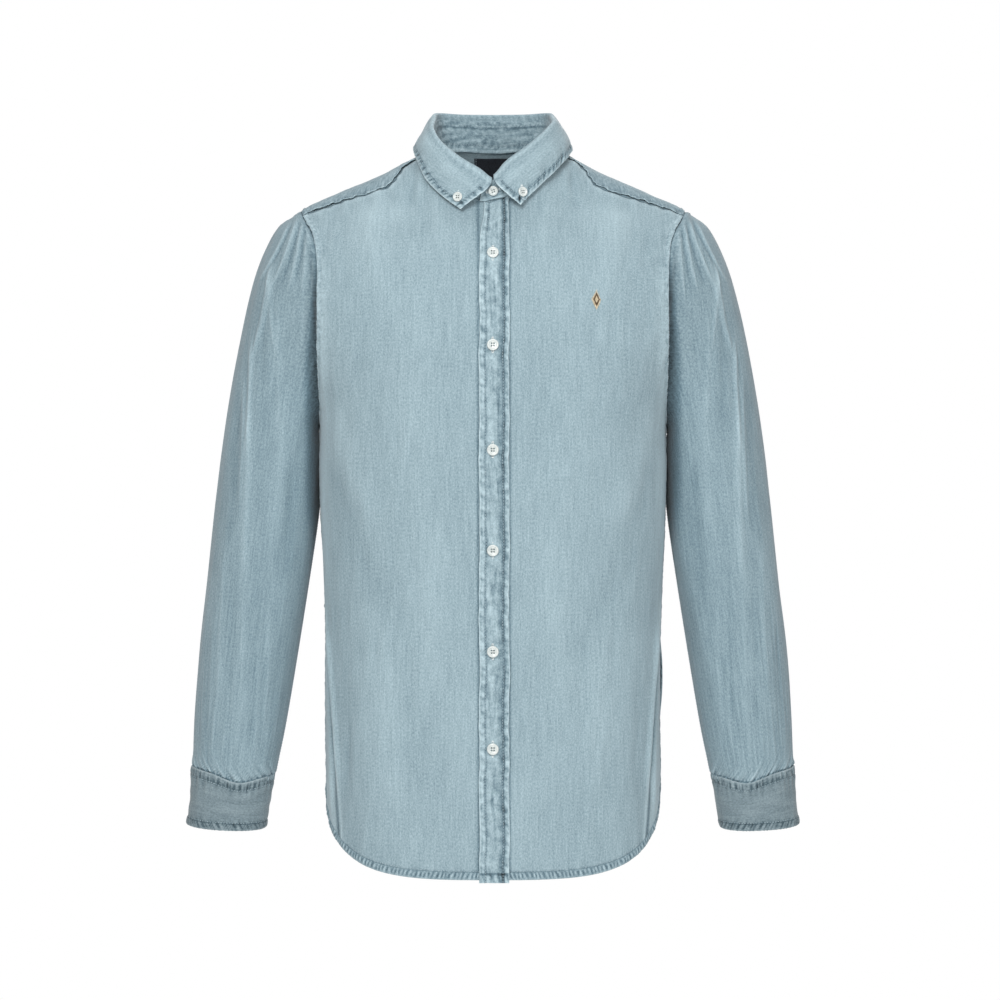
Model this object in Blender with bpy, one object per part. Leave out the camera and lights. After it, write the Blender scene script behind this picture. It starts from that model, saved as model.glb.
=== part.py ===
"""Long-sleeved denim button-down shirt, filled out as if worn.

Each piece that a maker cuts and sews on is one closed wall of cloth.
Metres, +Z up. The front faces -Y and the wearer's left is +X. The origin is the
point between the wearer's shoulders, level with the neck points of the shirt.
"""
import math
from collections import namedtuple

import bmesh
import bpy
import numpy as np
from mathutils import Vector

# ---------------------------------------------------------------- driving sizes
CLOTH = 0.0015
DOUBLE_CLOTH = 0.0020
SEAM_GAP = 0.0005
LAYER_GAP = 0.0003

SQUARENESS = 2.5
SHOULDER_ROLL = 0.130
ARMPIT_HEIGHT = -0.280
ARMHOLE_DEPTH = 0.2265
SIDE_HEM_HEIGHT = -0.668
FRONT_HEM_HEIGHT = -0.756
BACK_HEM_HEIGHT = -0.772
HEM_CURVE = 2.8

NECK_HALF_WIDTH = 0.063
NECK_FRONT_ANGLE = math.radians(72)
NECK_BACK_ANGLE = math.radians(36)
YOKE_AT_NECK = math.radians(76)
YOKE_AT_ARMHOLE = math.radians(18)
BACK_YOKE_HEIGHT = -0.078

PLACKET_LEFT = -0.014
PLACKET_RIGHT = 0.017
FRONT_SPLIT = 0.0115
PLACKET_DROP = 0.003
PLACKET_LIFT = 0.0007
PLACKET_TOP_GAP = 0.0017

STAND_OVERLAP = math.radians(12)
STAND_LIFT = 0.0008
STAND_LAP_GAP = 0.0008
STAND_LAP_START = math.radians(135)
STAND_LAP_END = math.radians(160)
STAND_TOP_GAP = 0.0014
ROLL_RADIUS = 0.0025
ROLL_START = 0.12
ROLL_END = 0.28
ROLL_END_TILT = math.radians(20)
LEAF_START = math.radians(3)
LEAF_FLARE = 0.016
LEAF_STEEPNESS = 0.4
LEAF_EDGE_PULL = 0.35
LEAF_EDGE_BULGE = 0.004

CUFF_OVERLAP = math.radians(12)
CUFF_LAP_START = math.radians(-35)
CUFF_LAP_END = math.radians(-5)
OPENING_ANGLE = math.radians(-68)
SLEEVE_PLACKET_HALF_ANGLE = math.radians(14)
SLEEVE_PLACKET_START = 8.6

BUTTON_DIAMETER = 0.0122
SMALL_BUTTON_DIAMETER = 0.0105
BUTTON_THICKNESS = 0.0026
BUTTON_SIDES = 16
BUTTON_RIM = 0.0008
BUTTON_DISH = 0.0020
BUTTON_DISH_SHARE = 0.62
POINT_BUTTON_ANGLE = math.radians(9)
POINT_BUTTON_SHARE = 0.86

LABEL_THICKNESS = 0.0010
LABEL_WIDTH = 0.041
LABEL_TOP = 0.008
LABEL_BOTTOM = -0.020

# ---------------------------------------------------------------- tables
Section = namedtuple("Section", "height half_width front_depth back_depth")
TORSO = (
    Section(-0.790, 0.1755, 0.114, 0.119),
    Section(-0.668, 0.1770, 0.116, 0.119),
    Section(-0.554, 0.1784, 0.118, 0.117),
    Section(-0.469, 0.1790, 0.120, 0.114),
    Section(-0.426, 0.1805, 0.122, 0.114),
    Section(-0.383, 0.1825, 0.125, 0.116),
    Section(-0.330, 0.1840, 0.128, 0.121),
    Section(-0.280, 0.1840, 0.130, 0.126),
    Section(-0.240, 0.1900, 0.129, 0.129),
    Section(-0.200, 0.2030, 0.126, 0.130),
    Section(-0.150, 0.2170, 0.117, 0.128),
    Section(-0.100, 0.2280, 0.102, 0.122),
    Section(-0.050, 0.2360, 0.078, 0.106),
    Section(0.000, 0.2430, 0.075, 0.098),
    Section(0.050, 0.2500, 0.072, 0.097),
)

Ridge = namedtuple("Ridge", "reach height")
SHOULDER_LINE = (
    Ridge(0.000, 0.0400),
    Ridge(0.025, 0.0370),
    Ridge(0.050, 0.0250),
    Ridge(0.066, 0.0125),
    Ridge(0.080, 0.0045),
    Ridge(0.095, -0.0035),
    Ridge(0.113, -0.0130),
    Ridge(0.131, -0.0210),
    Ridge(0.161, -0.0340),
    Ridge(0.192, -0.0475),
    Ridge(0.205, -0.0535),
    Ridge(0.225, -0.0660),
    Ridge(0.250, -0.0830),
)

Armhole = namedtuple("Armhole", "height reach")
ARMHOLE = (
    Armhole(-0.290, 0.1840),
    Armhole(-0.250, 0.1838),
    Armhole(-0.200, 0.1835),
    Armhole(-0.150, 0.1838),
    Armhole(-0.108, 0.1850),
    Armhole(-0.090, 0.1875),
    Armhole(-0.078, 0.1915),
    Armhole(-0.066, 0.1985),
    Armhole(-0.050, 0.2065),
)

SeamDrop = namedtuple("SeamDrop", "along drop")
YOKE_FRONT_SEAM = (
    SeamDrop(0.00, 0.0060),
    SeamDrop(0.14, 0.0042),
    SeamDrop(0.23, 0.0045),
    SeamDrop(0.33, 0.0165),
    SeamDrop(0.45, 0.0170),
    SeamDrop(0.57, 0.0148),
    SeamDrop(0.71, 0.0112),
    SeamDrop(0.82, 0.0100),
    SeamDrop(0.93, 0.0078),
    SeamDrop(1.00, 0.0070),
)

# The crease where the leaf folds over, by the angle round the neck from the front.
Roll = namedtuple("Roll", "angle reach depth height leg")
ROLL_LINE = (
    Roll(-15, -0.0125, -0.0745, -0.0260, 0.0050),
    Roll(0, 0.0000, -0.0770, -0.0260, 0.0050),
    Roll(15, 0.0120, -0.0745, -0.0165, 0.0050),
    Roll(40, 0.0356, -0.0640, -0.0010, 0.0060),
    Roll(60, 0.0545, -0.0460, 0.0165, 0.0075),
    Roll(75, 0.0625, -0.0270, 0.0310, 0.0085),
    Roll(95, 0.0605, 0.0060, 0.0440, 0.0090),
    Roll(128, 0.0500, 0.0440, 0.0545, 0.0090),
    Roll(150, 0.0310, 0.0540, 0.0535, 0.0090),
    Roll(180, 0.0000, 0.0570, 0.0530, 0.0090),
)

LeafEdge = namedtuple("LeafEdge", "angle reach depth height")
LEAF_EDGE = (
    LeafEdge(0, 0.0324, -0.0850, -0.0595),
    LeafEdge(12, 0.0470, -0.0765, -0.0486),
    LeafEdge(28, 0.0600, -0.0670, -0.0370),
    LeafEdge(48, 0.0713, -0.0540, -0.0225),
    LeafEdge(70, 0.0800, -0.0330, -0.0020),
    LeafEdge(86, 0.0835, -0.0080, 0.0085),
    LeafEdge(105, 0.0810, 0.0240, 0.0085),
    LeafEdge(130, 0.0660, 0.0540, 0.0060),
    LeafEdge(155, 0.0380, 0.0700, 0.0070),
    LeafEdge(180, 0.0000, 0.0760, 0.0080),
)

# Rings of the sleeve: the outer and inner points of each, and its reach to the front
# and back. A bow draws both flanks towards the body, and a dip lowers the front.
Ring = namedtuple("Ring", "out_x out_z in_x in_z front back middle bow dip")
SLEEVE = (
    Ring(0.2050, -0.0535, 0.1840, -0.2800, 0.0710, 0.0720, 0.0000, 0.0000, 0.0),
    Ring(0.2130, -0.0600, 0.1868, -0.2835, 0.0640, 0.0745, 0.0030, 0.0100, 0.0),
    Ring(0.2300, -0.0730, 0.1875, -0.2915, 0.0595, 0.0700, 0.0080, 0.0030, 0.0),
    Ring(0.2475, -0.1065, 0.1864, -0.3030, 0.0610, 0.0660, 0.0150, 0.0000, 0.0),
    Ring(0.2610, -0.1490, 0.1852, -0.3170, 0.0625, 0.0635, 0.0190, 0.0000, 0.0),
    Ring(0.2750, -0.2130, 0.1847, -0.3380, 0.0630, 0.0610, 0.0215, 0.0000, 0.0),
    Ring(0.2855, -0.2770, 0.1851, -0.3600, 0.0620, 0.0605, 0.0215, 0.0000, 0.0),
    Ring(0.2960, -0.3620, 0.1884, -0.3920, 0.0595, 0.0590, 0.0165, 0.0000, 0.0),
    Ring(0.3045, -0.4470, 0.1975, -0.4550, 0.0570, 0.0570, 0.0080, 0.0000, 0.0),
    Ring(0.3125, -0.5200, 0.2085, -0.5260, 0.0530, 0.0530, 0.0020, 0.0000, 0.001),
    Ring(0.3168, -0.5900, 0.2200, -0.5960, 0.0470, 0.0470, -0.0050, 0.0000, 0.002),
    Ring(0.3180, -0.6300, 0.2280, -0.6370, 0.0420, 0.0420, -0.0090, 0.0000, 0.003),
    Ring(0.3190, -0.6450, 0.2310, -0.6530, 0.0375, 0.0375, -0.0100, 0.0000, 0.004),
)
CUFF = (
    Ring(0.3205, -0.6455, 0.2315, -0.6535, 0.0380, 0.0380, -0.0100, 0.0000, 0.004),
    Ring(0.3225, -0.6800, 0.2365, -0.6850, 0.0375, 0.0375, -0.0105, 0.0000, 0.004),
    Ring(0.3255, -0.7045, 0.2405, -0.7085, 0.0365, 0.0365, -0.0110, 0.0000, 0.004),
)
SLEEVE_SQUARENESS = 2.2
SLEEVE_TRIM = 0.02
SLEEVE_PLACKET_TRIM = 0.03
ARMHOLE_HOLD = 1.5

FRONT_BUTTON_HEIGHTS = (-0.106, -0.202, -0.310, -0.414, -0.519, -0.620)

Finish = namedtuple("Finish", "colour roughness metallic")
DENIM = Finish((0.36, 0.47, 0.53, 1.0), 0.85, 0.0)
DENIM_DARK = Finish((0.27, 0.37, 0.43, 1.0), 0.85, 0.0)
PEARL = Finish((0.86, 0.87, 0.84, 1.0), 0.35, 0.0)
LABEL_TAPE = Finish((0.02, 0.025, 0.04, 1.0), 0.70, 0.0)


# ---------------------------------------------------------------- reading tables
def curve_through(stations, values):
    """A smooth curve through the values at the stations, held at both ends."""
    stations = np.asarray(stations, float)
    values = np.asarray(values, float)
    slopes = np.gradient(values, stations)

    def read(at):
        at = np.clip(at, stations[0], stations[-1])
        piece = np.clip(np.searchsorted(stations, at) - 1, 0, len(stations) - 2)
        span = stations[piece + 1] - stations[piece]
        u = (at - stations[piece]) / span
        start = values[piece] * (1 + 2 * u) * (1 - u) ** 2 + slopes[piece] * span * u * (1 - u) ** 2
        end = values[piece + 1] * u * u * (3 - 2 * u) + slopes[piece + 1] * span * u * u * (u - 1)
        return start + end

    return read


def column(rows, key, name):
    """One named column of a table, read along its key column."""
    return curve_through([getattr(row, key) for row in rows], [getattr(row, name) for row in rows])


half_width = column(TORSO, "height", "half_width")
front_depth = column(TORSO, "height", "front_depth")
back_depth = column(TORSO, "height", "back_depth")
armhole_reach = column(ARMHOLE, "height", "reach")
yoke_seam_drop = column(YOKE_FRONT_SEAM, "along", "drop")
MIRRORED_RIDGE = tuple(Ridge(-row.reach, row.height) for row in SHOULDER_LINE[:0:-1]) + SHOULDER_LINE
shoulder_line = column(MIRRORED_RIDGE, "reach", "height")


def mix(a, b, share):
    return a * (1 - share) + b * share


def ease(value):
    value = np.clip(value, 0.0, 1.0)
    return value * value * (3 - 2 * value)


def unit(vectors):
    return vectors / np.linalg.norm(vectors, axis=-1, keepdims=True)


def arc_shares():
    """Share of the way from mid front to the side seam, by share of the cloth's length."""
    angle = np.linspace(0.0, math.pi / 2, 721)
    across = half_width(ARMPIT_HEIGHT) * np.sin(angle) ** (2 / SQUARENESS)
    depth = front_depth(ARMPIT_HEIGHT) * np.cos(angle) ** (2 / SQUARENESS)
    steps = np.hypot(np.diff(across), np.diff(depth))
    length = np.concatenate(([0.0], np.cumsum(steps)))
    return length / length[-1], across / across[-1]


ARC_LENGTH_SHARE, ARC_WIDTH_SHARE = arc_shares()


def cloth_share(share):
    return np.interp(share, ARC_LENGTH_SHARE, ARC_WIDTH_SHARE)


# ---------------------------------------------------------------- the body's form
def torso_point(x, z, face):
    """The point of the body at a place in the front view, face -1 in front and +1 behind."""
    reach = np.clip(np.abs(x) / half_width(z), 0.0, 1.0)
    belly = (1 - reach ** SQUARENESS) ** (1 / SQUARENESS)
    drop = np.clip((shoulder_line(x) - z) / SHOULDER_ROLL, 0.0, 1.0)
    roll = np.sqrt(1 - (1 - drop) ** 2)
    depth = np.where(face < 0, front_depth(z), back_depth(z))
    return np.stack(np.broadcast_arrays(x, face * depth * belly * roll, z), axis=-1)


def depth_squared(x, z, face):
    return torso_point(x, z, face)[..., 1] ** 2


def torso_normal(points):
    """Outward direction of the body's form at points that lie on it."""
    x, y, z = np.moveaxis(points, -1, 0)
    face = np.where(y < 0, -1.0, 1.0)
    step = 0.0002
    by_x = depth_squared(x + step, z, face) - depth_squared(x - step, z, face)
    by_z = depth_squared(x, z + step, face) - depth_squared(x, z - step, face)
    return unit(np.stack((-by_x / (2 * step), 2 * y, -by_z / (2 * step)), axis=-1))


def turned_point(x, turn):
    """The point at a turn over the shoulder line, negative in front of it."""
    z = shoulder_line(x) - SHOULDER_ROLL * (1 - np.cos(turn))
    return torso_point(x, z, np.where(turn < 0, -1.0, 1.0))


def turn_of(x, z, face):
    rise = np.clip(1 - (shoulder_line(x) - z) / SHOULDER_ROLL, -1.0, 1.0)
    return face * np.arccos(rise)


NECK_LEVEL_ANGLE = math.asin(FRONT_SPLIT / NECK_HALF_WIDTH)


def neckline(angle):
    """Across place and turn of the neck seam, by the angle from the front round the +X side."""
    ahead = np.minimum(np.cos(angle), math.cos(NECK_LEVEL_ANGLE))
    turn = np.where(ahead > 0, -NECK_FRONT_ANGLE * ahead, -NECK_BACK_ANGLE * ahead)
    return NECK_HALF_WIDTH * np.sin(angle), turn


def neck_height(angle):
    x, turn = neckline(angle)
    return shoulder_line(x) - SHOULDER_ROLL * (1 - np.cos(turn))


def armhole(angle):
    """Across place and height of the armhole seam, from the shoulder (0) to the armpit (pi)."""
    z = SLEEVE[0].out_z - ARMHOLE_DEPTH * (1 - np.cos(angle)) / 2
    return armhole_reach(z), z


def yoke_front(share):
    """Across place and height of the yoke's front seam, from the neckline to the armhole."""
    neck_x, neck_turn = neckline(YOKE_AT_NECK)
    arm_x, arm_z = armhole(YOKE_AT_ARMHOLE)
    neck_drop = SHOULDER_ROLL * (1 - np.cos(neck_turn))
    arm_drop = shoulder_line(arm_x) - arm_z
    x = mix(neck_x, arm_x, share)
    ends = mix(neck_drop - yoke_seam_drop(0.0), arm_drop - yoke_seam_drop(1.0), share)
    return x, shoulder_line(x) - yoke_seam_drop(share) - ends


def hem_height(share, middle):
    """Height of the hem at a share of the half width, for a tail that reaches to middle."""
    angle = np.arcsin(np.clip(np.abs(share), 0.0, 1.0) ** (SQUARENESS / 2)) / (math.pi / 2)
    return middle + (SIDE_HEM_HEIGHT - middle) * angle ** HEM_CURVE


SIDE_SEAM_SHARE = 0.60
LEVEL_REACH = 0.0175
MID_FRONT_SHARE = 0.84
YOKE_BEHIND_ARMHOLE = math.acos(1 - 2 * (SLEEVE[0].out_z - BACK_YOKE_HEIGHT) / ARMHOLE_DEPTH)


def body_side(along, top_angle):
    """Side seam and then armhole, from the hem to a piece's top corner."""
    up = np.clip(along / SIDE_SEAM_SHARE, 0.0, 1.0)
    seam_z = mix(SIDE_HEM_HEIGHT, ARMPIT_HEIGHT, up)
    round_arm = np.clip((along - SIDE_SEAM_SHARE) / (1 - SIDE_SEAM_SHARE), 0.0, 1.0)
    arm_x, arm_z = armhole(mix(math.pi, top_angle, round_arm))
    on_seam = along <= SIDE_SEAM_SHARE
    return np.where(on_seam, half_width(seam_z), arm_x), np.where(on_seam, seam_z, arm_z)


def width_share(across, side_z):
    """Shares across a row: by cloth length below the armpit, even beside the armhole."""
    above = ease((side_z - ARMPIT_HEIGHT) / 0.06)
    size = np.abs(across)
    return np.sign(across) * mix(cloth_share(size), size, above)


def front_place(across, along, edge, hand):
    """A front in the front view: across from its edge at mid front (0) to the side (1)."""
    up = np.clip(along / MID_FRONT_SHARE, 0.0, 1.0)
    start = math.asin(hand * edge / NECK_HALF_WIDTH)
    round_neck = np.clip((along - MID_FRONT_SHARE) / (1 - MID_FRONT_SHARE), 0.0, 1.0)
    neck_angle = mix(start, YOKE_AT_NECK, round_neck)
    neck_x, _ = neckline(neck_angle)
    neck_z = neck_height(neck_angle)
    edge_share = hand * edge / half_width(SIDE_HEM_HEIGHT)
    hem_z = hem_height(edge_share, FRONT_HEM_HEIGHT)
    on_edge = along <= MID_FRONT_SHARE
    left_x = np.where(on_edge, hand * edge, neck_x)
    left_z = np.where(on_edge, mix(hem_z, neck_height(start), up), neck_z)
    right_x, right_z = body_side(along, YOKE_AT_ARMHOLE)
    share = width_share(across, right_z)
    x = mix(left_x, right_x, share)
    bottom_z = hem_height(mix(edge_share, 1.0, share), FRONT_HEM_HEIGHT)
    _, top_z = yoke_front(share)
    level = (LEVEL_REACH - hand * edge) / (half_width(ARMPIT_HEIGHT) - hand * edge)
    slope = np.clip((share - level) / (1 - level), 0.0, 1.0)
    corner_low = mix(hem_z, SIDE_HEM_HEIGHT, slope)
    corner_high = mix(yoke_front(0.0)[1], yoke_front(1.0)[1], slope)
    z = mix(left_z, right_z, slope) + (bottom_z - corner_low) * (1 - along)
    z = z + (top_z - corner_high) * round_neck
    return hand * x, z


def front_form(edge, hand):
    def form(across, along):
        x, z = front_place(across, along, edge, hand)
        return torso_point(x, z, -1.0)

    return form


def back_form(across, along):
    """The back below the yoke: across from -X to +X, along from the hem to the yoke."""
    side_x, side_z = body_side(along, YOKE_BEHIND_ARMHOLE)
    share = width_share(2 * across - 1, side_z)
    bottom_z = hem_height(share, BACK_HEM_HEIGHT) - SIDE_HEM_HEIGHT
    z = side_z + bottom_z * (1 - along)
    return torso_point(side_x * share, z, 1.0)


YOKE_SEAM_SHARE = 0.27


def yoke_form(across, down):
    """The yoke: across from one armhole to the other, down from its front edge to its back."""
    side = np.sign(across - 0.5)
    reach = np.abs(across - 0.5) * 2
    on_seam = reach >= 1 - 2 * YOKE_SEAM_SHARE
    along_seam = np.clip((reach - 1 + 2 * YOKE_SEAM_SHARE) / (2 * YOKE_SEAM_SHARE), 0.0, 1.0)
    seam_x, seam_z = yoke_front(along_seam)
    round_neck = np.clip(reach / (1 - 2 * YOKE_SEAM_SHARE), 0.0, 1.0)
    neck_x, neck_turn = neckline(mix(math.pi, YOKE_AT_NECK, round_neck))
    first_x = np.where(on_seam, seam_x, neck_x)
    first_turn = np.where(on_seam, turn_of(seam_x, seam_z, -1.0), neck_turn)
    arm_x, arm_z = armhole(YOKE_BEHIND_ARMHOLE)
    last_x = arm_x * reach
    last_turn = turn_of(last_x, BACK_YOKE_HEIGHT, 1.0)
    edge_angle = mix(-YOKE_AT_ARMHOLE, YOKE_BEHIND_ARMHOLE, down)
    edge_x, edge_z = armhole(np.abs(edge_angle))
    edge_turn = turn_of(edge_x, edge_z, np.sign(edge_angle))
    corner_x, corner_z = armhole(YOKE_AT_ARMHOLE)
    corner_turn = turn_of(corner_x, corner_z, -1.0)
    edge_x_extra = edge_x - mix(corner_x, arm_x, down)
    edge_turn_extra = edge_turn - mix(corner_turn, turn_of(arm_x, arm_z, 1.0), down)
    hold = ease((reach - 0.5) / 0.5)
    x = mix(first_x, last_x, down) + edge_x_extra * hold
    turn = mix(first_turn, last_turn, down) + edge_turn_extra * hold
    return turned_point(side * x, turn)


def placket_form(across, along):
    x = mix(PLACKET_LEFT, PLACKET_RIGHT, across)
    top = neck_height(np.arcsin(x / NECK_HALF_WIDTH))
    hem = hem_height(np.abs(x) / half_width(SIDE_HEM_HEIGHT), FRONT_HEM_HEIGHT) - PLACKET_DROP
    return torso_point(x, mix(hem, top, along), -1.0)


# ---------------------------------------------------------------- the collar's form
roll_reach = column(ROLL_LINE, "angle", "reach")
roll_depth = column(ROLL_LINE, "angle", "depth")
roll_height = column(ROLL_LINE, "angle", "height")
roll_leg = column(ROLL_LINE, "angle", "leg")
edge_reach = column(LEAF_EDGE, "angle", "reach")
edge_depth = column(LEAF_EDGE, "angle", "depth")
edge_height = column(LEAF_EDGE, "angle", "height")


def round_neck_angle(bearing):
    """Split a bearing from the back (0) to the front (+-pi) into a side and an angle."""
    side = np.where(bearing < 0, -1.0, 1.0)
    return side, np.degrees(math.pi - np.abs(bearing))


def roll_point(bearing):
    side, angle = round_neck_angle(bearing)
    return np.stack((side * roll_reach(angle), roll_depth(angle), roll_height(angle)), axis=-1)


def roll_frame(bearing):
    """Crease point and the level direction that points away from the neck there."""
    step = 0.01
    tangent = roll_point(bearing + step) - roll_point(bearing - step)
    level = np.stack((-tangent[..., 1], tangent[..., 0], 0 * tangent[..., 0]), axis=-1)
    outward = unit(level)
    return roll_point(bearing), outward


def neck_seam(bearing):
    side, angle = round_neck_angle(bearing)
    x, turn = neckline(np.radians(angle))
    return turned_point(side * x, turn)


def stand_form(bearing, up):
    """The collar stand, from the neck seam to the foot of the leaf."""
    _, angle = round_neck_angle(bearing)
    base = neck_seam(bearing)
    top = roll_point(bearing)
    top[..., 2] -= roll_leg(angle)
    rise = unit(top - base)
    base = base + rise * STAND_LIFT
    return base + (top - base - rise * STAND_TOP_GAP) * np.asarray(up)[..., None]


def leaf_form(bearing, down):
    """Middle of the leaf's cloth: up inside the neck, over the crease and down to the edge."""
    crease, outward = roll_frame(bearing)
    side, angle = round_neck_angle(bearing)
    up = np.array((0.0, 0.0, 1.0))
    leg = roll_leg(angle)
    leg_share = np.clip(down / ROLL_START, 0.0, 1.0)
    inside_z = mix(-leg, -ROLL_RADIUS, leg_share)
    arc_share = np.clip((down - ROLL_START) / (ROLL_END - ROLL_START), 0.0, 1.0)
    swing = mix(math.pi, ROLL_END_TILT, arc_share)
    arc_out = ROLL_RADIUS * (1 + np.cos(swing))
    arc_up = ROLL_RADIUS * (np.sin(swing) - 1)
    rising = down < ROLL_START
    out = np.where(rising, 0.0, arc_out)
    rise = np.where(rising, inside_z, arc_up)
    head = crease + outward * out[..., None] + up * rise[..., None]
    edge = np.stack((side * edge_reach(angle), edge_depth(angle), edge_height(angle)), axis=-1)
    sink = up * math.cos(ROLL_END_TILT) * LEAF_STEEPNESS
    away = unit(outward * math.sin(ROLL_END_TILT) - sink)
    fall = np.clip((down - ROLL_END) / (1 - ROLL_END), 0.0, 1.0)[..., None]
    first = head + away * LEAF_FLARE
    last = edge + (head - edge) * LEAF_EDGE_PULL + outward * LEAF_EDGE_BULGE
    body = head * (1 - fall) ** 3 + first * 3 * fall * (1 - fall) ** 2
    body = body + last * 3 * fall ** 2 * (1 - fall) + edge * fall ** 3
    return body


# ---------------------------------------------------------------- the sleeves' form
def ring_column(rows, name):
    return curve_through(range(len(rows)), [getattr(row, name) for row in rows])


def ring_form(rows, hand):
    """A tube through rings: an angle from the outer line towards the front, and a station."""
    read = {name: ring_column(rows, name) for name in Ring._fields}

    def form(angle, station):
        out = np.cos(angle)
        ahead = np.sin(angle)
        power = 2 / SLEEVE_SQUARENESS
        lean = np.sign(out) * np.abs(out) ** power
        flank = np.abs(ahead) ** power
        x = mix(read["in_x"](station), read["out_x"](station), (1 + lean) / 2)
        z = mix(read["in_z"](station), read["out_z"](station), (1 + lean) / 2)
        x = x - read["bow"](station) * flank
        reach = np.where(ahead > 0, -read["front"](station), read["back"](station))
        y = read["middle"](station) + reach * flank
        z = z - read["dip"](station) * ahead
        return np.stack(np.broadcast_arrays(hand * x, y, z), axis=-1)

    return form


def armhole_point(angle, hand):
    turn = np.arctan2(np.sin(angle), np.cos(angle))
    x, z = armhole(np.abs(turn))
    return torso_point(hand * x, z, np.where(turn > 0, -1.0, 1.0))


def sleeve_form(hand):
    tube = ring_form(SLEEVE, hand)

    def form(angle, station):
        hold = np.clip(1 - station / ARMHOLE_HOLD, 0.0, 1.0)[..., None] ** 2
        return tube(angle, station) + (armhole_point(angle, hand) - tube(angle, 0 * station)) * hold

    return form


def sleeve_normals(hand):
    """Across the cloth of a sleeve, turned to lie along the body's own cloth at the armhole."""
    form = sleeve_form(hand)

    def normals(angle, station):
        seam = torso_normal(armhole_point(angle, hand))
        hold = np.clip(1 - station, 0.0, 1.0)[..., None]
        return unit(mix(form_normals(form, angle, station, hand < 0), seam, hold))

    return normals


# ---------------------------------------------------------------- walls of cloth
def form_normals(form, us, vs, flip=False):
    """Directions across a form, from steps along its two parameters."""
    step = 0.0004
    along_u = form(us + step, vs) - form(us - step, vs)
    along_v = form(us, vs + step) - form(us, vs - step)
    return unit(np.cross(along_u, along_v)) * (-1.0 if flip else 1.0)


def add_wall(name, form, us, vs, outer, inner, finish, normals=None, closed=False, layer=None):
    """One closed wall between two offsets of a form, on a grid of its two parameters."""
    u_grid, v_grid = np.meshgrid(us, vs, indexing="ij")
    middle = form(u_grid, v_grid)
    normal = torso_normal(middle) if normals is None else normals(u_grid, v_grid)
    lift = 0.0 if layer is None else layer(u_grid)[..., None]
    skins = [middle + normal * (outer + lift), middle + normal * (inner + lift)]
    columns, rows = u_grid.shape
    mesh = bmesh.new()
    layers = []
    for skin in skins:
        layers.append([[mesh.verts.new(skin[i, j]) for j in range(rows)] for i in range(columns)])
    spans = columns if closed else columns - 1
    for i in range(spans):
        after = (i + 1) % columns
        for j in range(rows - 1):
            top, low = layers
            mesh.faces.new((top[i][j], top[after][j], top[after][j + 1], top[i][j + 1]))
            mesh.faces.new((low[i][j], low[i][j + 1], low[after][j + 1], low[after][j]))
        for j in (0, rows - 1):
            rim = (layers[0][i][j], layers[1][i][j], layers[1][after][j], layers[0][after][j])
            mesh.faces.new(rim if j == 0 else rim[::-1])
    if not closed:
        for i in (0, columns - 1):
            for j in range(rows - 1):
                rim = (layers[0][i][j + 1], layers[1][i][j + 1], layers[1][i][j], layers[0][i][j])
                mesh.faces.new(rim if i == 0 else rim[::-1])
    return finish_object(name, mesh, finish)


def make_material(name, finish):
    material = bpy.data.materials.new(name)
    material.use_nodes = True
    shader = material.node_tree.nodes["Principled BSDF"]
    shader.inputs["Base Color"].default_value = finish.colour
    shader.inputs["Roughness"].default_value = finish.roughness
    shader.inputs["Metallic"].default_value = finish.metallic
    return material


def finish_object(name, mesh, finish):
    bmesh.ops.triangulate(mesh, faces=mesh.faces[:])
    bmesh.ops.recalc_face_normals(mesh, faces=mesh.faces[:])
    if mesh.calc_volume(signed=True) < 0:
        bmesh.ops.reverse_faces(mesh, faces=mesh.faces[:])
    data = bpy.data.meshes.new(name)
    mesh.to_mesh(data)
    mesh.free()
    data.materials.append(make_material(name + "_finish", finish))
    data.shade_smooth()
    data.set_sharp_from_angle(angle=math.radians(40))
    piece = bpy.data.objects.new(name, data)
    bpy.context.scene.collection.objects.link(piece)
    return piece


# ---------------------------------------------------------------- the cut pieces
SIDE_NAMES = ((-1.0, "right"), (1.0, "left"))
BACK_COLUMN_COUNT = 17
FRONT_COLUMN_COUNT = 10
NECK_COLUMN_COUNT = 9
SIDE_ROW_COUNT = 11
ARMHOLE_ROW_COUNTS = (6, 6)
BACK_ARMHOLE_ROW_COUNT = 9
YOKE_ROW_COUNT = 6
LEAF_COLUMN_COUNT = 31
CUFF_COLUMN_COUNT = 23


SAME_STATION = 0.001


def trimmed(count, length):
    """Even stations from 0 to 1 that stop half a seam gap short of both ends."""
    edge = SEAM_GAP / 2 / length
    return np.linspace(edge, 1 - edge, count)


def seam_rows(counts, ends, length):
    """Rows through each stretch between the ends in turn, trimmed at both outer ends."""
    parts = [np.linspace(low, high, count + 1)[1:] for count, low, high in zip(counts, ends, ends[1:])]
    rows = np.concatenate([[ends[0]]] + parts)
    rows[0] += SEAM_GAP / 2 / length
    rows[-1] -= SEAM_GAP / 2 / length
    return rows


def arm_shares(rows):
    """Shares along the armhole of the rows that end on it."""
    on_arm = rows[rows > SIDE_SEAM_SHARE - SAME_STATION]
    return np.clip((on_arm - SIDE_SEAM_SHARE) / (1 - SIDE_SEAM_SHARE), 0.0, 1.0)


# Lengths of cloth that the seam gaps are shared out over.
FRONT_LENGTH = 0.75
BACK_LENGTH = 0.68
YOKE_LENGTH = 0.10
FRONT_WIDTH = 0.24
BACK_WIDTH = 0.50

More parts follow.
